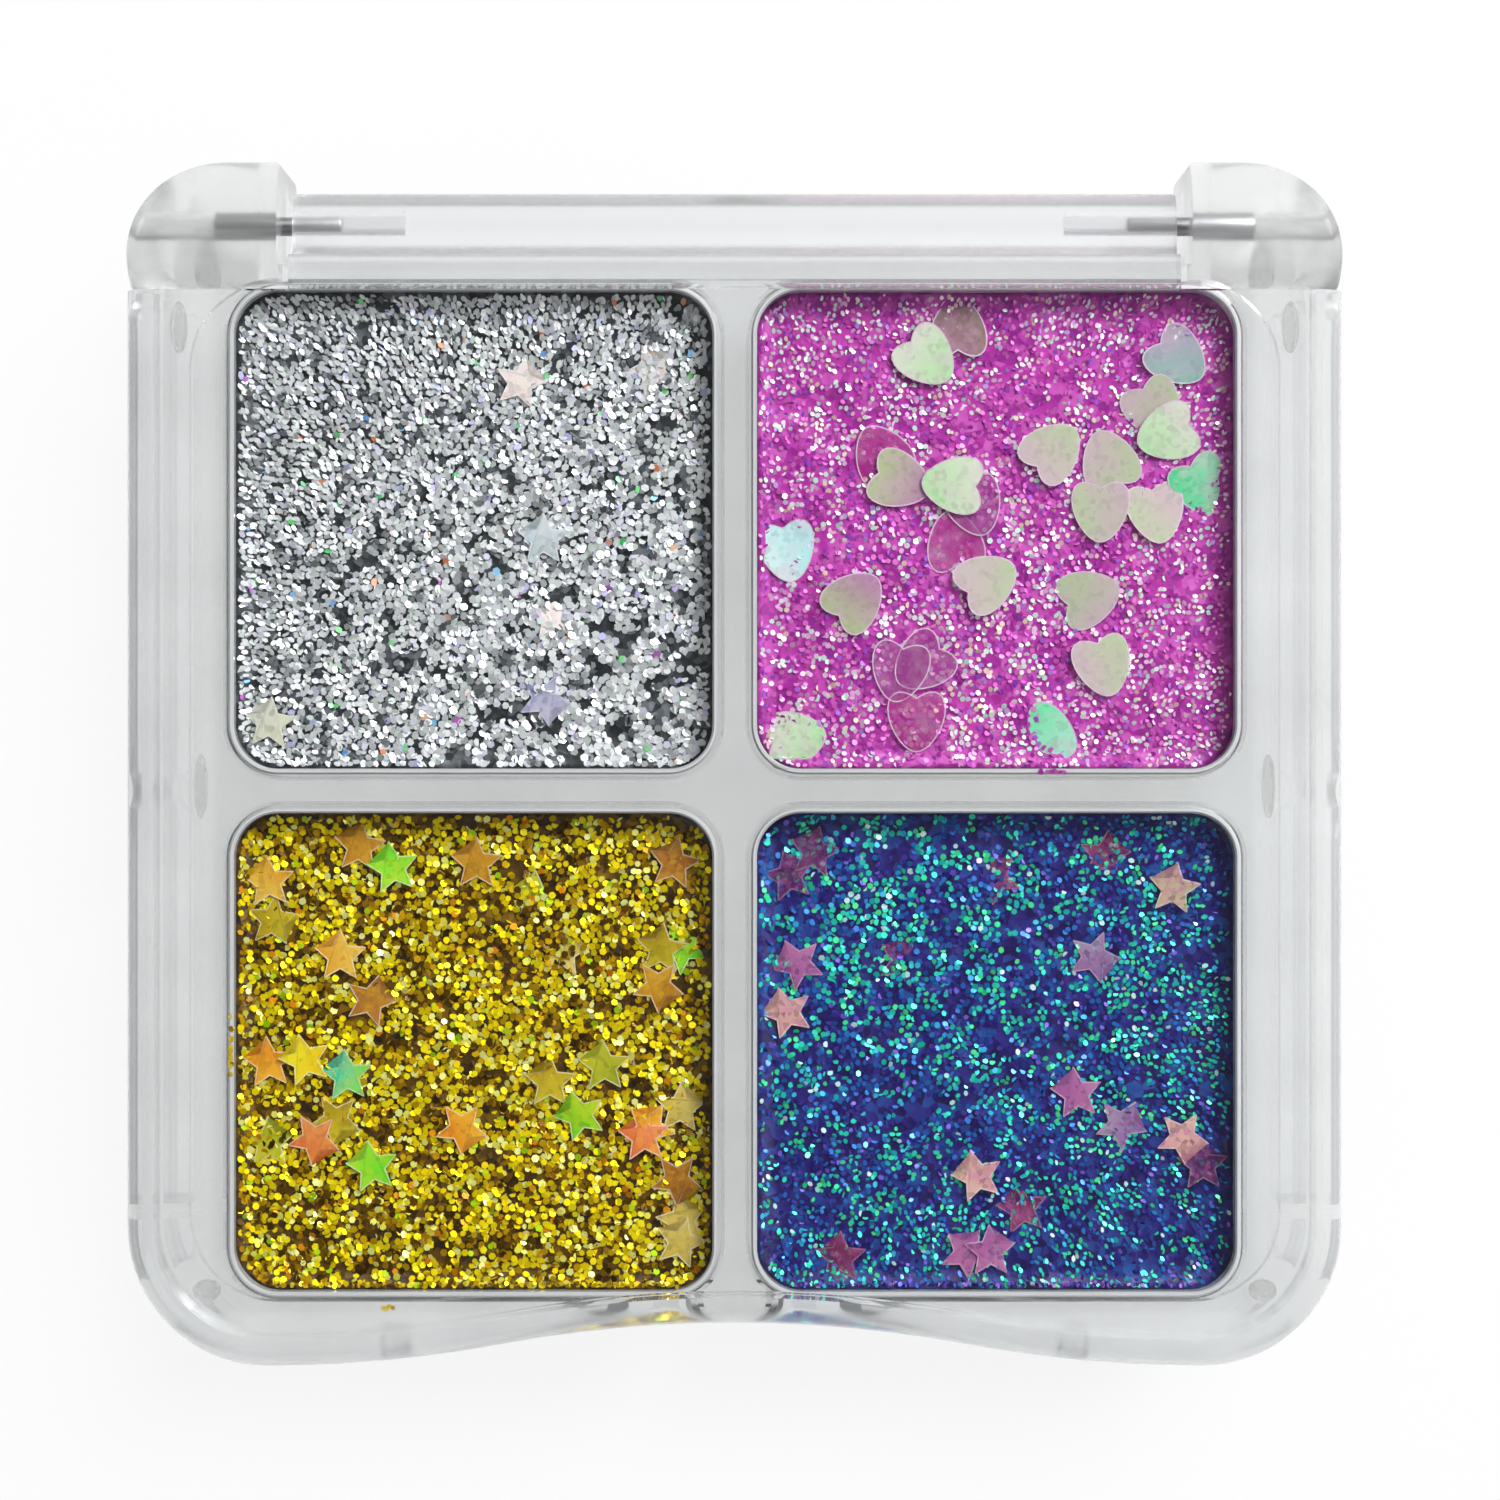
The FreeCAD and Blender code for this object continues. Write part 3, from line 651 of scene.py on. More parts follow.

# Star sequins. Silver, gold and blue hold small punched stars of thin iridescent film, 3 mm
# across with rounded tips, lying loose on the flakes. Each has its own tilt and two colours,
# and its rim is painted paler, a painted highlight where the cut edge catches the light.
STAR_R = 1.53
STAR_WAIST = 0.47
STAR_TIP_ROUND = 0.1
SEQUIN_THICKNESS = 0.05
SEQUIN_RIM = 0.07
SEQUIN_TILT = 2.5
FILM_SPOT = 0.3
FILM_ROUGHNESS = (0.23, 0.35)
FILM_PATCH = 1.2
FILM_HAZE = 0.5
FILM_CREASE = 0.7
FILM_CREASE_HEIGHT = 0.03
FILM_CREASE_STRENGTH = 0.25
FILM_METAL = 0.05
# How far towards white the painted rim highlight goes.
STAR_RIM_HIGHLIGHT = 0.35
SEQUIN_RIDE = 0.3
SWEEP_SHARPNESS = 1.6
STAR_FILMS = {
    "blush": (tone(244, 226, 220), tone(250, 238, 234), 1.0),
    "chrome": (tone(190, 210, 218), tone(232, 238, 242), 1.0),
    "cream": (tone(226, 228, 214), tone(236, 238, 206), 1.0),
    "frost": (tone(176, 184, 222), tone(214, 208, 236), 0.8),
    "bronze": (tone(190, 128, 22), tone(216, 156, 46), 1.0),
    "brown": (tone(160, 98, 26), tone(190, 122, 44), 1.0),
    "amber": (tone(232, 160, 40), tone(250, 206, 90), 1.0),
    "olive": (tone(176, 146, 16), tone(206, 190, 40), 1.0),
    "orange": (tone(240, 136, 24), tone(255, 190, 50), 1.0),
    "coral": (tone(230, 104, 50), tone(246, 150, 90), 1.0),
    "yellow": (tone(250, 210, 10), tone(254, 240, 40), 1.0),
    "lime": (tone(120, 214, 20), tone(190, 236, 40), 1.0),
    "green": (tone(90, 226, 40), tone(170, 240, 50), 1.0),
    "aqua": (tone(60, 216, 190), tone(150, 236, 70), 1.0),
    "moss": (tone(160, 170, 30), tone(200, 206, 50), 1.0),
    "straw": (tone(206, 180, 70), tone(232, 210, 120), 1.0),
    "peach": (tone(222, 160, 160), tone(236, 196, 176), 1.0),
    "sand": (tone(196, 160, 150), tone(206, 186, 150), 1.0),
    "lilac": (tone(160, 120, 196), tone(200, 180, 206), 0.6),
    "rose": (tone(180, 96, 176), tone(214, 140, 190), 0.75),
    "plum": (tone(92, 30, 110), tone(120, 50, 120), 0.5),
    "wine": (tone(120, 30, 90), tone(170, 60, 110), 0.5),
}
SILVER_STARS = (
    (2.5, 8.05, 5, "blush", 0.22), (9.65, 8.75, 40, "blush", 0.0), (3.74, -0.47, 90, "chrome", 0.16),
    (-11.15, -10.47, 85, "cream", 0.2), (3.8, -9.2, -80, "frost", 0.08), (4.35, -4.55, 20, "blush", -0.02),
)
GOLD_STARS = (
    (-6.26, 11.1, 85, "bronze", 0.16), (-4.43, 9.96, 100, "green", 0.26), (0.1, 10.2, 90, "bronze", 0.18),
    (10.87, 10.2, 80, "brown", 0.16), (-11.2, 9.2, 95, "amber", 0.18), (-10.96, 7.1, -60, "olive", 0.1),
    (-7.3, 5.18, 90, "amber", 0.26), (-5.65, 2.75, 0, "brown", 0.16), (10.17, 5.53, 85, "olive", 0.16),
    (10.0, 3.53, -90, "bronze", 0.22), (-11.2, -0.64, 95, "orange", 0.16), (-9.2, -0.47, 105, "yellow", 0.28),
    (-6.96, -1.34, 95, "aqua", 0.2), (-7.56, -3.77, -95, "olive", 0.12), (-8.7, -4.8, -95, "coral", 0.24),
    (-5.56, -6.3, 100, "green", 0.24), (-0.7, -4.2, -90, "orange", 0.22), (4.1, -1.7, 90, "olive", 0.14),
    (7.04, -0.82, 93, "moss", 0.2), (5.74, -3.5, 110, "lime", 0.26), (9.2, -4.64, 95, "coral", 0.2),
    (9.5, -4.2, 60, "orange", 0.12), (11.0, -7.0, -90, "brown", 0.18), (11.3, -9.2, 30, "straw", 0.14),
    (11.2, -10.4, 75, "straw", 0.22), (11.2, -3.1, 15, "straw", 0.1), (-11.2, -5.0, 20, "moss", 0.04),
    (4.8, 5.4, 10, "straw", -0.02), (3.3, 8.4, 90, "moss", -0.03), (11.3, 5.6, 50, "green", 0.04),
)
BLUE_STARS = (
    (9.74, 8.83, 82, "sand", 0.24), (5.4, 5.1, -75, "lilac", 0.14), (-10.7, 4.75, 120, "rose", 0.12),
    (-11.3, 2.1, 110, "peach", 0.24), (4.43, -2.3, 97, "rose", 0.2), (6.87, -4.0, -15, "lilac", 0.06),
    (10.2, -4.7, -85, "peach", 0.24), (11.3, -6.2, 20, "plum", 0.2), (-0.96, -6.8, 105, "peach", 0.24),
    (-1.56, -11.0, 60, "rose", 0.18), (-0.26, -10.9, 20, "rose", 0.22), (-8.4, -11.25, 90, "wine", 0.08),
    (-9.8, 10.8, 80, "plum", 0.06), (-11.2, 9.5, 30, "plum", 0.08), (0.0, 9.4, 50, "wine", -0.03),
    (1.5, -8.6, 100, "wine", 0.02), (-5.0, 4.9, 70, "plum", -0.04), (6.0, 10.6, 10, "wine", -0.02),
)


def film_finish(name, sheen, sheen_most, spots_most, thinnest):
    """Iridescent film, coloured and thinned sequin by sequin, with patches and spots of a second colour that
    are a painted sheen, the spots also painted glints of the flakes below. Small spots of it are clearer,
    down to thinnest, so that the flakes below shine through."""
    finish, surface = new_finish(name)
    tree = finish.node_tree
    paint = tree.nodes.new("ShaderNodeAttribute")
    paint.attribute_name = "film_colour"
    place = tree.nodes.new("ShaderNodeTexCoord")
    spots = tree.nodes.new("ShaderNodeTexVoronoi")
    spots.inputs["Scale"].default_value = 1 / (FILM_SPOT * MM)
    tree.links.new(place.outputs["Object"], spots.inputs["Vector"])
    part = tree.nodes.new("ShaderNodeSeparateColor")
    tree.links.new(spots.outputs["Color"], part.inputs["Color"])
    sheen_share = largest(
        finish,
        between(finish, blobs_of(finish, FILM_PATCH), 0, sheen_most, 0.45, 0.7),
        between(finish, part.outputs["Red"], 0, spots_most, 0.6, 1),
    )
    patches = tree.nodes.new("ShaderNodeMixRGB")
    patches.inputs["Color2"].default_value = sheen
    tree.links.new(sheen_share, patches.inputs["Fac"])
    tree.links.new(paint.outputs["Color"], patches.inputs["Color1"])
    tree.links.new(patches.outputs["Color"], surface.inputs["Base Color"])
    thinned = tree.nodes.new("ShaderNodeMath")
    thinned.operation = "MULTIPLY"
    tree.links.new(paint.outputs["Alpha"], thinned.inputs[0])
    tree.links.new(between(finish, part.outputs["Green"], thinnest, 1, 0, 0.4), thinned.inputs[1])
    tree.links.new(thinned.outputs["Value"], surface.inputs["Alpha"])
    haze = between(finish, blobs_of(finish, FILM_HAZE), *FILM_ROUGHNESS)
    tree.links.new(haze, surface.inputs["Roughness"])
    surface.inputs["Metallic"].default_value = FILM_METAL
    creases = blobs_of(finish, FILM_CREASE, 1.0)
    relief(finish, surface, creases, FILM_CREASE_HEIGHT, FILM_CREASE_STRENGTH)
    return finish


def paler(colour, share):
    """A colour brought that share of the way to white."""
    return [value + (1 - value) * share for value in colour[:3]]


def thicken_film(sequins, outline):
    """Makes a flat outline into a thin sequin with a narrow rim on top, and gives all its geometry."""
    raised = bmesh.ops.extrude_face_region(sequins, geom=[outline])["geom"]
    bmesh.ops.translate(sequins, verts=items_of(raised, bmesh.types.BMVert), vec=(0, 0, SEQUIN_THICKNESS))
    top = items_of(raised, bmesh.types.BMFace)
    bmesh.ops.inset_region(sequins, faces=top, thickness=SEQUIN_RIM, use_even_offset=True)
    bmesh.ops.recalc_face_normals(sequins, faces=sequins.faces)
    return sequins.verts[:] + sequins.edges[:] + sequins.faces[:]


def lay_film(sequins, paint, pattern, place, film, rim, sweep):
    """One more copy of a sequin, coloured from one side to the other, with a painted highlight along its rim,
    and put in place.
    """
    first, second, opacity = film
    verts, faces = copy_pattern(sequins, pattern)
    along = Vector((math.cos(sweep), math.sin(sweep), 0))
    for face in faces:
        on_rim = len(face.verts) == 4
        for loop in face.loops:
            share = min(1.0, max(0.0, 0.5 + SWEEP_SHARPNESS * loop.vert.co.dot(along) / (2 * STAR_R)))
            blend = [one + (other - one) * share for one, other in zip(first[:3], second[:3])]
            loop[paint] = rim if on_rim else (*blend, opacity)
    bmesh.ops.transform(sequins, verts=verts, matrix=place)


def sequin_place(glitter, x, y, turn, lift, dice):
    """Where a sequin lies on its gel, with a little tilt."""
    middle, half = pan_middle(glitter)
    height = gel_height(glitter, half, x, y) * SEQUIN_RIDE + lift
    return (
        Matrix.Scale(MM, 4)
        @ Matrix.Translation(middle + Vector((x, y, height)))
        @ Matrix.Rotation(math.radians(dice.gauss(0, SEQUIN_TILT)), 4, "X")
        @ Matrix.Rotation(math.radians(dice.gauss(0, SEQUIN_TILT)), 4, "Y")
        @ Matrix.Rotation(math.radians(turn), 4, "Z")
    )


def star_pattern(sequins):
    """A star at the origin with a tip along X."""
    ring = bmesh.ops.create_circle(sequins, cap_ends=True, segments=10, radius=STAR_R)["verts"]
    ring.sort(key=lambda vert: math.atan2(vert.co.y, vert.co.x) % math.tau)
    spin = Matrix.Rotation(-math.atan2(ring[0].co.y, ring[0].co.x), 4, "Z")
    bmesh.ops.transform(sequins, verts=ring, matrix=spin)
    for vert in ring[1::2]:
        vert.co *= STAR_WAIST
    bmesh.ops.bevel(
        sequins, geom=ring[0::2], offset=STAR_TIP_ROUND, offset_type="OFFSET",
        segments=2, profile=0.5, affect="VERTICES", material=-1,
    )
    sequins.faces.ensure_lookup_table()
    return thicken_film(sequins, sequins.faces[0])


def scatter_stars(glitter, stars, finish, dice):
    """The star sequins of one pan, in place of the flat ones of the CAD."""
    sequins = bmesh.new()
    paint = sequins.loops.layers.float_color.new("film_colour")
    pattern = star_pattern(sequins)
    for x, y, turn, film_name, lift in stars:
        film = STAR_FILMS[film_name]
        place = sequin_place(glitter, x, y, turn, lift, dice)
        # The rim is painted paler than the film, a painted highlight on the cut edge.
        rim = (*paler(film[1], STAR_RIM_HIGHLIGHT), film[2])
        lay_film(sequins, paint, pattern, place, film, rim, dice.uniform(0, math.tau))
    drop_pattern(sequins, pattern)
    piece = put_piece(glitter + "_star_films", sequins, finish)
    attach(piece, "base")
    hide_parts(glitter + "_stars")


silver_star_film = film_finish("silver_star_film", tone(250, 236, 214), 0.25, 0.25, 0.6)
scatter_stars("silver", SILVER_STARS, silver_star_film, random.Random(51))
gold_star_film = film_finish("gold_star_film", tone(250, 206, 50), 0.3, 0.25, 0.7)
scatter_stars("gold", GOLD_STARS, gold_star_film, random.Random(52))
rose_star_film = film_finish("rose_star_film", tone(204, 110, 170), 0.6, 0.6, 0.4)
scatter_stars("blue", BLUE_STARS, rose_star_film, random.Random(53))

# Heart sequins. The pink gel holds plump little hearts of pearly film, 3.2 mm across. Some
# reflect pale green, some look beige, and some are clear with only their cut rim showing. The rims
# are painted pale as a highlight on the cut edge, and one heart is painted umber as painted shade
# from the back wall that it lies against.
HEART_WIDTH = 3.2
HEART_DRAWN_WIDTH = 32
HEART_POINTS = 36
# The cut rims of the hearts are painted pale, a painted highlight.
HEART_RIM_HIGHLIGHT = tone(238, 214, 232, 0.9)
HEART_FILMS = {
    "mint": (tone(192, 240, 178), tone(228, 236, 212), 1.0),
    "pearl": (tone(206, 224, 178), tone(226, 206, 206), 0.78),
    "slate": (tone(140, 200, 186), tone(194, 186, 206), 0.75),
    # The umber film is painted shade, for a heart that lies in the shade of the pan's back wall.
    "shaded_umber": (tone(150, 124, 110), tone(172, 124, 144), 0.7),
    "emerald": (tone(90, 220, 150), tone(150, 236, 190), 1.0),
    "ice": (tone(180, 240, 240), tone(226, 254, 250), 1.0),
    "jade": (tone(120, 244, 180), tone(196, 246, 226), 1.0),
    "clear": (tone(190, 60, 170), tone(200, 90, 180), 0.35),
    "berry": (tone(206, 40, 162), tone(216, 84, 178), 0.4),
    "sage": (tone(204, 216, 166), tone(206, 150, 190), 0.75),
}
PINK_HEARTS = (
    (-3.65, 9.36, -45, "mint", 0.3), (-2.0, 11.1, 90, "shaded_umber", 0.1), (10.0, 9.36, -40, "slate", 0.14),
    (8.7, 6.57, -60, "pearl", 0.18), (9.3, 5.27, 200, "mint", 0.28), (3.2, 4.4, 45, "pearl", 0.24),
    (6.17, 3.88, 110, "pearl", 0.16), (5.74, 1.0, -90, "pearl", 0.24), (8.78, 0.92, -80, "pearl", 0.16),
    (11.3, 2.4, -60, "emerald", 0.04), (-6.2, 4.2, 120, "berry", 0.06), (-5.1, 2.7, -20, "sage", 0.16),
    (-2.35, 2.5, 175, "mint", 0.34), (-1.1, 1.3, -70, "clear", 0.24), (-2.2, -0.5, 100, "berry", 0.12),
    (-0.35, -2.73, 30, "pearl", 0.26), (-7.56, -3.7, 45, "sage", 0.24), (5.2, -3.6, 20, "pearl", 0.22),
    (5.9, -7.4, -75, "pearl", 0.2), (-5.2, -7.7, -100, "clear", 0.22), (-4.0, -7.25, -140, "clear", 0.16),
    (-4.26, -10.4, -90, "berry", 0.14), (-11.3, -1.16, -80, "ice", 0.06), (2.96, -11.2, -30, "jade", 0.06),
    (-10.8, -11.3, 10, "mint", 0.02),
)


def heart_point(turn):
    """A point of a plump heart 32 across, with its round tip along X and its middle at the origin."""
    swell = 15 * math.cos(turn) - 4 * math.cos(2 * turn) - 1.5 * math.cos(3 * turn) - 0.5 * math.cos(4 * turn)
    blunt = 0.55 + 0.45 * math.cos(turn)
    return Vector((-1.1 * swell - 3.25, 16 * math.sin(turn) * abs(math.sin(turn)) ** blunt, 0))


pearl_film = film_finish("pearl_film", tone(232, 196, 216), 0.45, 0.25, 0.8)
heart_dice = random.Random(54)
hearts = bmesh.new()
heart_paint = hearts.loops.layers.float_color.new("film_colour")
for vert in bmesh.ops.create_circle(hearts, cap_ends=True, segments=HEART_POINTS, radius=1)["verts"]:
    vert.co = heart_point(math.atan2(vert.co.y, vert.co.x)) * HEART_WIDTH / HEART_DRAWN_WIDTH
hearts.faces.ensure_lookup_table()
heart_pattern = thicken_film(hearts, hearts.faces[0])
for heart_x, heart_y, heart_turn, heart_film, heart_lift in PINK_HEARTS:
    place = sequin_place("pink", heart_x, heart_y, heart_turn, heart_lift, heart_dice)
    sweep = heart_dice.uniform(0, math.tau)
    lay_film(hearts, heart_paint, heart_pattern, place, HEART_FILMS[heart_film], HEART_RIM_HIGHLIGHT, sweep)
drop_pattern(hearts, heart_pattern)
heart_piece = put_piece("pink_heart_films", hearts, pearl_film)
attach(heart_piece, "base")
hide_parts("pink_hearts")

# Loose flakes. Glitter sticks to the front walls of the two lower pans above the gel, and
# crumbs of it lie flat where they fell, on the rims and on the front of the case.
PAN_RIM_Z = 7.31
CASE_TOP_Z = 8.01
CRUMB_R = 0.13
CRUMB_TILT = 5
FRINGE_TILT = 40
FRINGE_Y = -28.42
FRINGE_Z = 6.0
GOLD_CRUMBS = [
    (40, tone(214, 180, 10), tone(246, 220, 60)),
    (20, tone(110, 82, 0), tone(170, 138, 4)),
]
VIOLET_CRUMBS = [
    (40, tone(110, 66, 190), tone(164, 110, 220)),
    (24, tone(60, 40, 150), tone(70, 100, 190)),
    # The pale flakes among the violet ones are painted highlights.
    (6, tone(210, 186, 236), tone(236, 220, 246)),
]
PINK_CRUMBS = [
    (40, tone(160, 50, 150), tone(210, 110, 190)),
]
CRUMBS = (
    ((-18.7, -29.45, CASE_TOP_Z), (0.3, 0.12, 0.02), CRUMB_TILT, 8, GOLD_CRUMBS),
    ((-2.4, -29.45, CASE_TOP_Z), (0.25, 0.1, 0.02), CRUMB_TILT, 6, GOLD_CRUMBS),
    ((-1.2, -29.45, CASE_TOP_Z), (0.2, 0.1, 0.02), CRUMB_TILT, 5, GOLD_CRUMBS),
    ((-27.25, -15.4, PAN_RIM_Z), (0.06, 1.6, 0.02), CRUMB_TILT, 26, GOLD_CRUMBS),
    ((17.1, -0.55, PAN_RIM_Z), (0.8, 0.06, 0.02), CRUMB_TILT, 12, PINK_CRUMBS),
    ((-14.15, FRINGE_Y, FRINGE_Z), (11.2, 0.1, 0.45), FRINGE_TILT, 190, GOLD_CRUMBS),
    ((14.15, FRINGE_Y, FRINGE_Z), (11.2, 0.1, 0.45), FRINGE_TILT, 190, VIOLET_CRUMBS),
)

crumb_dice = random.Random(61)
crumb_lays = []
for crumb_spot, crumb_reach, crumb_tilt, crumb_count, crumb_palette in CRUMBS:
    for number in range(crumb_count):
        spot = Vector(crumb_spot) + Vector((
            crumb_dice.uniform(-crumb_reach[0], crumb_reach[0]),
            crumb_dice.uniform(-crumb_reach[1], crumb_reach[1]),
            crumb_dice.uniform(0, crumb_reach[2]),
        ))
        crumb_place = (
            Matrix.Translation(spot)
            @ Matrix.Rotation(math.radians(crumb_dice.gauss(0, crumb_tilt)), 4, "X")
            @ Matrix.Rotation(math.radians(crumb_dice.gauss(0, crumb_tilt)), 4, "Y")
            @ Matrix.Rotation(crumb_dice.uniform(0, math.pi), 4, "Z")
        )
        crumb_lays.append((crumb_place, flake_colour_and_glint(crumb_palette, crumb_dice)))
crumb_piece = lay_flakes("loose_flakes", CRUMB_R, crumb_lays, gold_film)

# Hinge pins. Two short lengths of drawn steel wire with rounded ends are pressed in through
# the ears and carry the barrel of the lid. The clear plastic of the ears clings to them.
PIN_PRESS = 0.005
PIN_SIDES = 32
PIN_END_ROUND = 0.15
PIN_ROUGHNESS = (0.22, 0.42)

pin_steel, pin_surface = new_finish("drawn_steel")
pin_marks = blobs_of(pin_steel, 0.25, 4.0, (0.05, 1, 1))
pin_steel.node_tree.links.new(
    shades(pin_steel, pin_marks, (0.3, tone(120, 120, 122)), (0.7, tone(178, 178, 180))),
    pin_surface.inputs["Base Color"],
)
pin_surface.inputs["Metallic"].default_value = 1
pin_haze = between(pin_steel, pin_marks, *PIN_ROUGHNESS)
pin_steel.node_tree.links.new(pin_haze, pin_surface.inputs["Roughness"])
relief(pin_steel, pin_surface, pin_marks, 0.01, 0.3)
for side in ("left", "right"):
    pin_low, pin_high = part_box("hinge_pin_" + side)
    pin_radius = (pin_high.z - pin_low.z) / 2 + PIN_PRESS * MM
    wire = bmesh.new()
    bmesh.ops.create_cone(
        wire, cap_ends=True, segments=PIN_SIDES, radius1=pin_radius, radius2=pin_radius,
        depth=pin_high.x - pin_low.x,
        matrix=Matrix.Translation((pin_low + pin_high) / 2) @ Matrix.Rotation(math.pi / 2, 4, "Y"),
    )
    pin_ends = [edge for edge in wire.edges if any(len(face.verts) > 4 for face in edge.link_faces)]
    bmesh.ops.bevel(
        wire, geom=pin_ends, offset=PIN_END_ROUND * MM, offset_type="OFFSET",
        segments=3, profile=0.5, affect="EDGES", material=-1,
    )
    for face in wire.faces:
        face.smooth = len(face.verts) == 4
    pin = put_piece("hinge_wire_" + side, wire, pin_steel)
    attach(pin, "base")
    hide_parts("hinge_pin_" + side)

# Case lid. The clear lid is moulded with a rounded edge, a barrel along its back for the pins
# and two small catches at the front. It stays as the CAD made it, clearest over the pans,
# slightly milky along its border, hazy at front and back and a little grey at the back.
LID_BORDER_FADE = 0.6
LID_ROUGHNESS = 0.03
LID_BORDER_CLEARNESS = 0.9
LID_BORDER_ROUGHNESS = 0.08
LID_FRONT_ROUGHNESS = 0.25
LID_BACK_ROUGHNESS = 0.26
LID_BACK_TINT = tone(238, 239, 240)

lid_acrylic, lid_surface = clear_plastic(
    "lid_acrylic", tone(251, 252, 252), tone(246, 247, 247),
    clearness=1.0, roughness=LID_ROUGHNESS, shade=tone(250, 251, 252),
)
lid_links = lid_acrylic.node_tree.links
lid_x = place_along(lid_acrylic, "X")
lid_y = place_along(lid_acrylic, "Y")
fade = LID_BORDER_FADE * MM
window_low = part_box("gold_pan")[0]
window_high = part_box("pink_pan")[1]
lid_front = between(lid_acrylic, lid_y, 0, 1, window_low.y, window_low.y - fade)
lid_back = between(lid_acrylic, lid_y, 0, 1, window_high.y, window_high.y + fade)
lid_border = largest(
    lid_acrylic,
    lid_front,
    lid_back,
    between(lid_acrylic, lid_x, 0, 1, window_low.x, window_low.x - fade),
    between(lid_acrylic, lid_x, 0, 1, window_high.x, window_high.x + fade),
)
lid_clearness = between(lid_acrylic, lid_border, 1, LID_BORDER_CLEARNESS)
lid_links.new(lid_clearness, lid_surface.inputs["Transmission Weight"])
lid_tint = lid_acrylic.node_tree.nodes.new("ShaderNodeMixRGB")
lid_tint.inputs["Color2"].default_value = LID_BACK_TINT
lid_links.new(lid_back, lid_tint.inputs["Fac"])
lid_links.new(lid_surface.inputs["Base Color"].links[0].from_socket, lid_tint.inputs["Color1"])
lid_links.new(lid_tint.outputs["Color"], lid_surface.inputs["Base Color"])
lid_haze = largest(
    lid_acrylic,
    lid_surface.inputs["Roughness"].links[0].from_socket,
    between(lid_acrylic, lid_border, 0, LID_BORDER_ROUGHNESS),
    between(lid_acrylic, lid_front, 0, LID_FRONT_ROUGHNESS),
    between(lid_acrylic, lid_back, 0, LID_BACK_ROUGHNESS),
)
lid_links.new(lid_haze, lid_surface.inputs["Roughness"])
dress("case_lid", lid_acrylic)

# Studio. A plain white floor that shows more of its shadow through the clear case, a pale
# surround that is lighter at the back right and dark straight overhead by the camera,
# one large soft lamp from the back right and a weaker one from the front left.
FLOOR_HALF = 1.5
FLOOR_DROP = 0.0003
FLOOR_WHITE = 0.87
FLOOR_WHITE_THROUGH = 0.04
SKY_FRONT_LEFT = (0.13, 0.127, 0.122, 1)
SKY_BACK_RIGHT = (1, 1, 1, 1)
SKY_DARK_TO = 0.35
SKY_LIGHT_FROM = 0.75
SKY_TURN = -28
SKY_OVERHEAD = 0.12
SKY_DIM_FROM = 0.94
SKY_DIM_TO = 0.99
FLOOR_GRAIN = 40
FLOOR_ROUGHNESS = 0.9

floor_paint, floor_surface = new_finish("floor_paint")
floor_surface.inputs["Roughness"].default_value = FLOOR_ROUGHNESS
floor_grain = blobs_of(floor_paint, FLOOR_GRAIN)
floor_paint.node_tree.links.new(
    shades(floor_paint, floor_grain, (0.3, tone(236, 236, 236)), (0.7, tone(240, 240, 240))),
    floor_surface.inputs["Base Color"],
)
floor_mesh = bmesh.new()
bmesh.ops.create_grid(floor_mesh, x_segments=1, y_segments=1, size=FLOOR_HALF)
bmesh.ops.translate(floor_mesh, verts=floor_mesh.verts, vec=(0, 0, -FLOOR_DROP))
floor = put_piece("floor", floor_mesh, floor_paint)
floor_nodes = floor_paint.node_tree.nodes
floor_links = floor_paint.node_tree.links
floor_white = floor_nodes.new("ShaderNodeEmission")
floor_white.inputs["Color"].default_value = (1, 1, 1, 1)
floor_white.inputs["Strength"].default_value = 1
floor_path = floor_nodes.new("ShaderNodeLightPath")
floor_seen = largest(
    floor_paint,
    between(floor_paint, floor_path.outputs["Is Camera Ray"], 0, FLOOR_WHITE),
    between(floor_paint, floor_path.outputs["Is Glossy Ray"], 0, FLOOR_WHITE),
    between(floor_paint, floor_path.outputs["Is Transmission Ray"], 0, FLOOR_WHITE_THROUGH),
)
floor_both = floor_nodes.new("ShaderNodeMixShader")
floor_links.new(floor_seen, floor_both.inputs["Fac"])
floor_links.new(floor_surface.outputs["BSDF"], floor_both.inputs[1])
floor_links.new(floor_white.outputs["Emission"], floor_both.inputs[2])
floor_links.new(floor_both.outputs["Shader"], floor_nodes["Material Output"].inputs["Surface"])

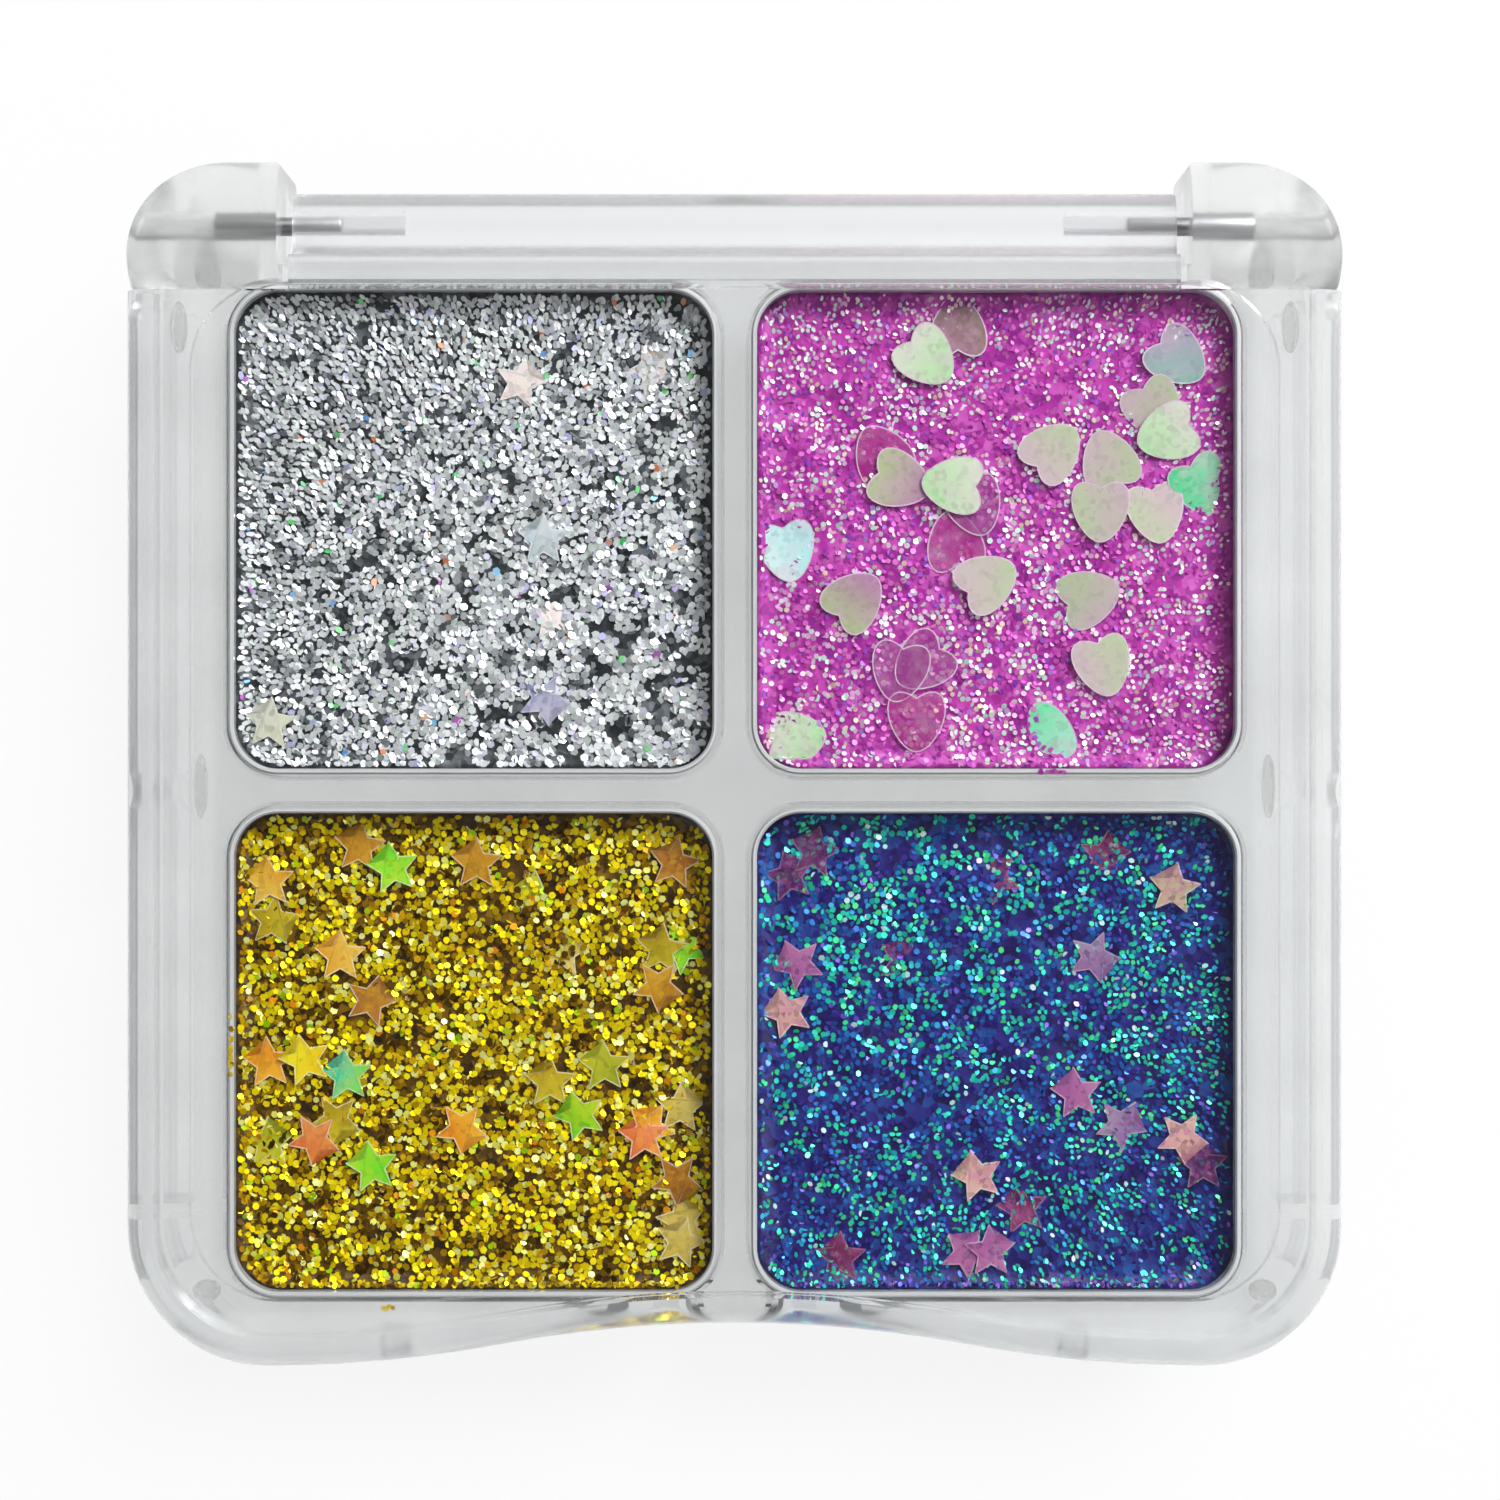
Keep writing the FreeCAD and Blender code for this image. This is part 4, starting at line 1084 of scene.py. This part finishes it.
world = bpy.data.worlds.new("studio")
world.use_nodes = True
bpy.context.scene.world = world
sky = world.node_tree.nodes["Background"]
sky_place = world.node_tree.nodes.new("ShaderNodeTexCoord")
sky_turned = world.node_tree.nodes.new("ShaderNodeMapping")
sky_turned.inputs["Rotation"].default_value = (0, 0, math.radians(SKY_TURN))
sky_part = world.node_tree.nodes.new("ShaderNodeSeparateXYZ")
world.node_tree.links.new(sky_place.outputs["Generated"], sky_turned.inputs["Vector"])
world.node_tree.links.new(sky_turned.outputs["Vector"], sky_part.inputs["Vector"])
across = between(world, sky_part.outputs["X"], 0, 1, -1, 1)
world.node_tree.links.new(
    shades(world, across, (SKY_DARK_TO, SKY_FRONT_LEFT), (SKY_LIGHT_FROM, SKY_BACK_RIGHT)),
    sky.inputs["Color"],
)
overhead = between(world, sky_part.outputs["Z"], 1, SKY_OVERHEAD, SKY_DIM_FROM, SKY_DIM_TO)
world.node_tree.links.new(overhead, sky.inputs["Strength"])


def soft_lamp(name, spot, size, watts):
    """A square soft lamp that faces the palette."""
    light = bpy.data.lights.new(name, "AREA")
    light.shape = "SQUARE"
    light.size = size
    light.energy = watts
    lamp = bpy.data.objects.new(name, light)
    lamp.location = spot
    lamp.rotation_euler = (-Vector(spot)).to_track_quat("-Z", "Y").to_euler()
    bpy.context.scene.collection.objects.link(lamp)


soft_lamp("key_lamp", (0.28, 0.33, 0.34), size=0.22, watts=3.2)
soft_lamp("fill_lamp", (-0.42, -0.3, 0.3), size=0.3, watts=0.3)

# Camera. It hangs straight over the palette, a little to the right of its middle.
CAMERA_SPOT = (0.00083, 0.00062, 0.26)
CAMERA_LENS = 111.9
CAMERA_SENSOR = 36
CAMERA_NEAREST = 0.01

camera_data = bpy.data.cameras.new("camera")
camera_data.lens = CAMERA_LENS
camera_data.sensor_width = CAMERA_SENSOR
camera_data.clip_start = CAMERA_NEAREST
camera = bpy.data.objects.new("camera", camera_data)
camera.location = CAMERA_SPOT
bpy.context.scene.collection.objects.link(camera)
bpy.context.scene.camera = camera
bpy.context.scene.view_settings.view_transform = "Standard"
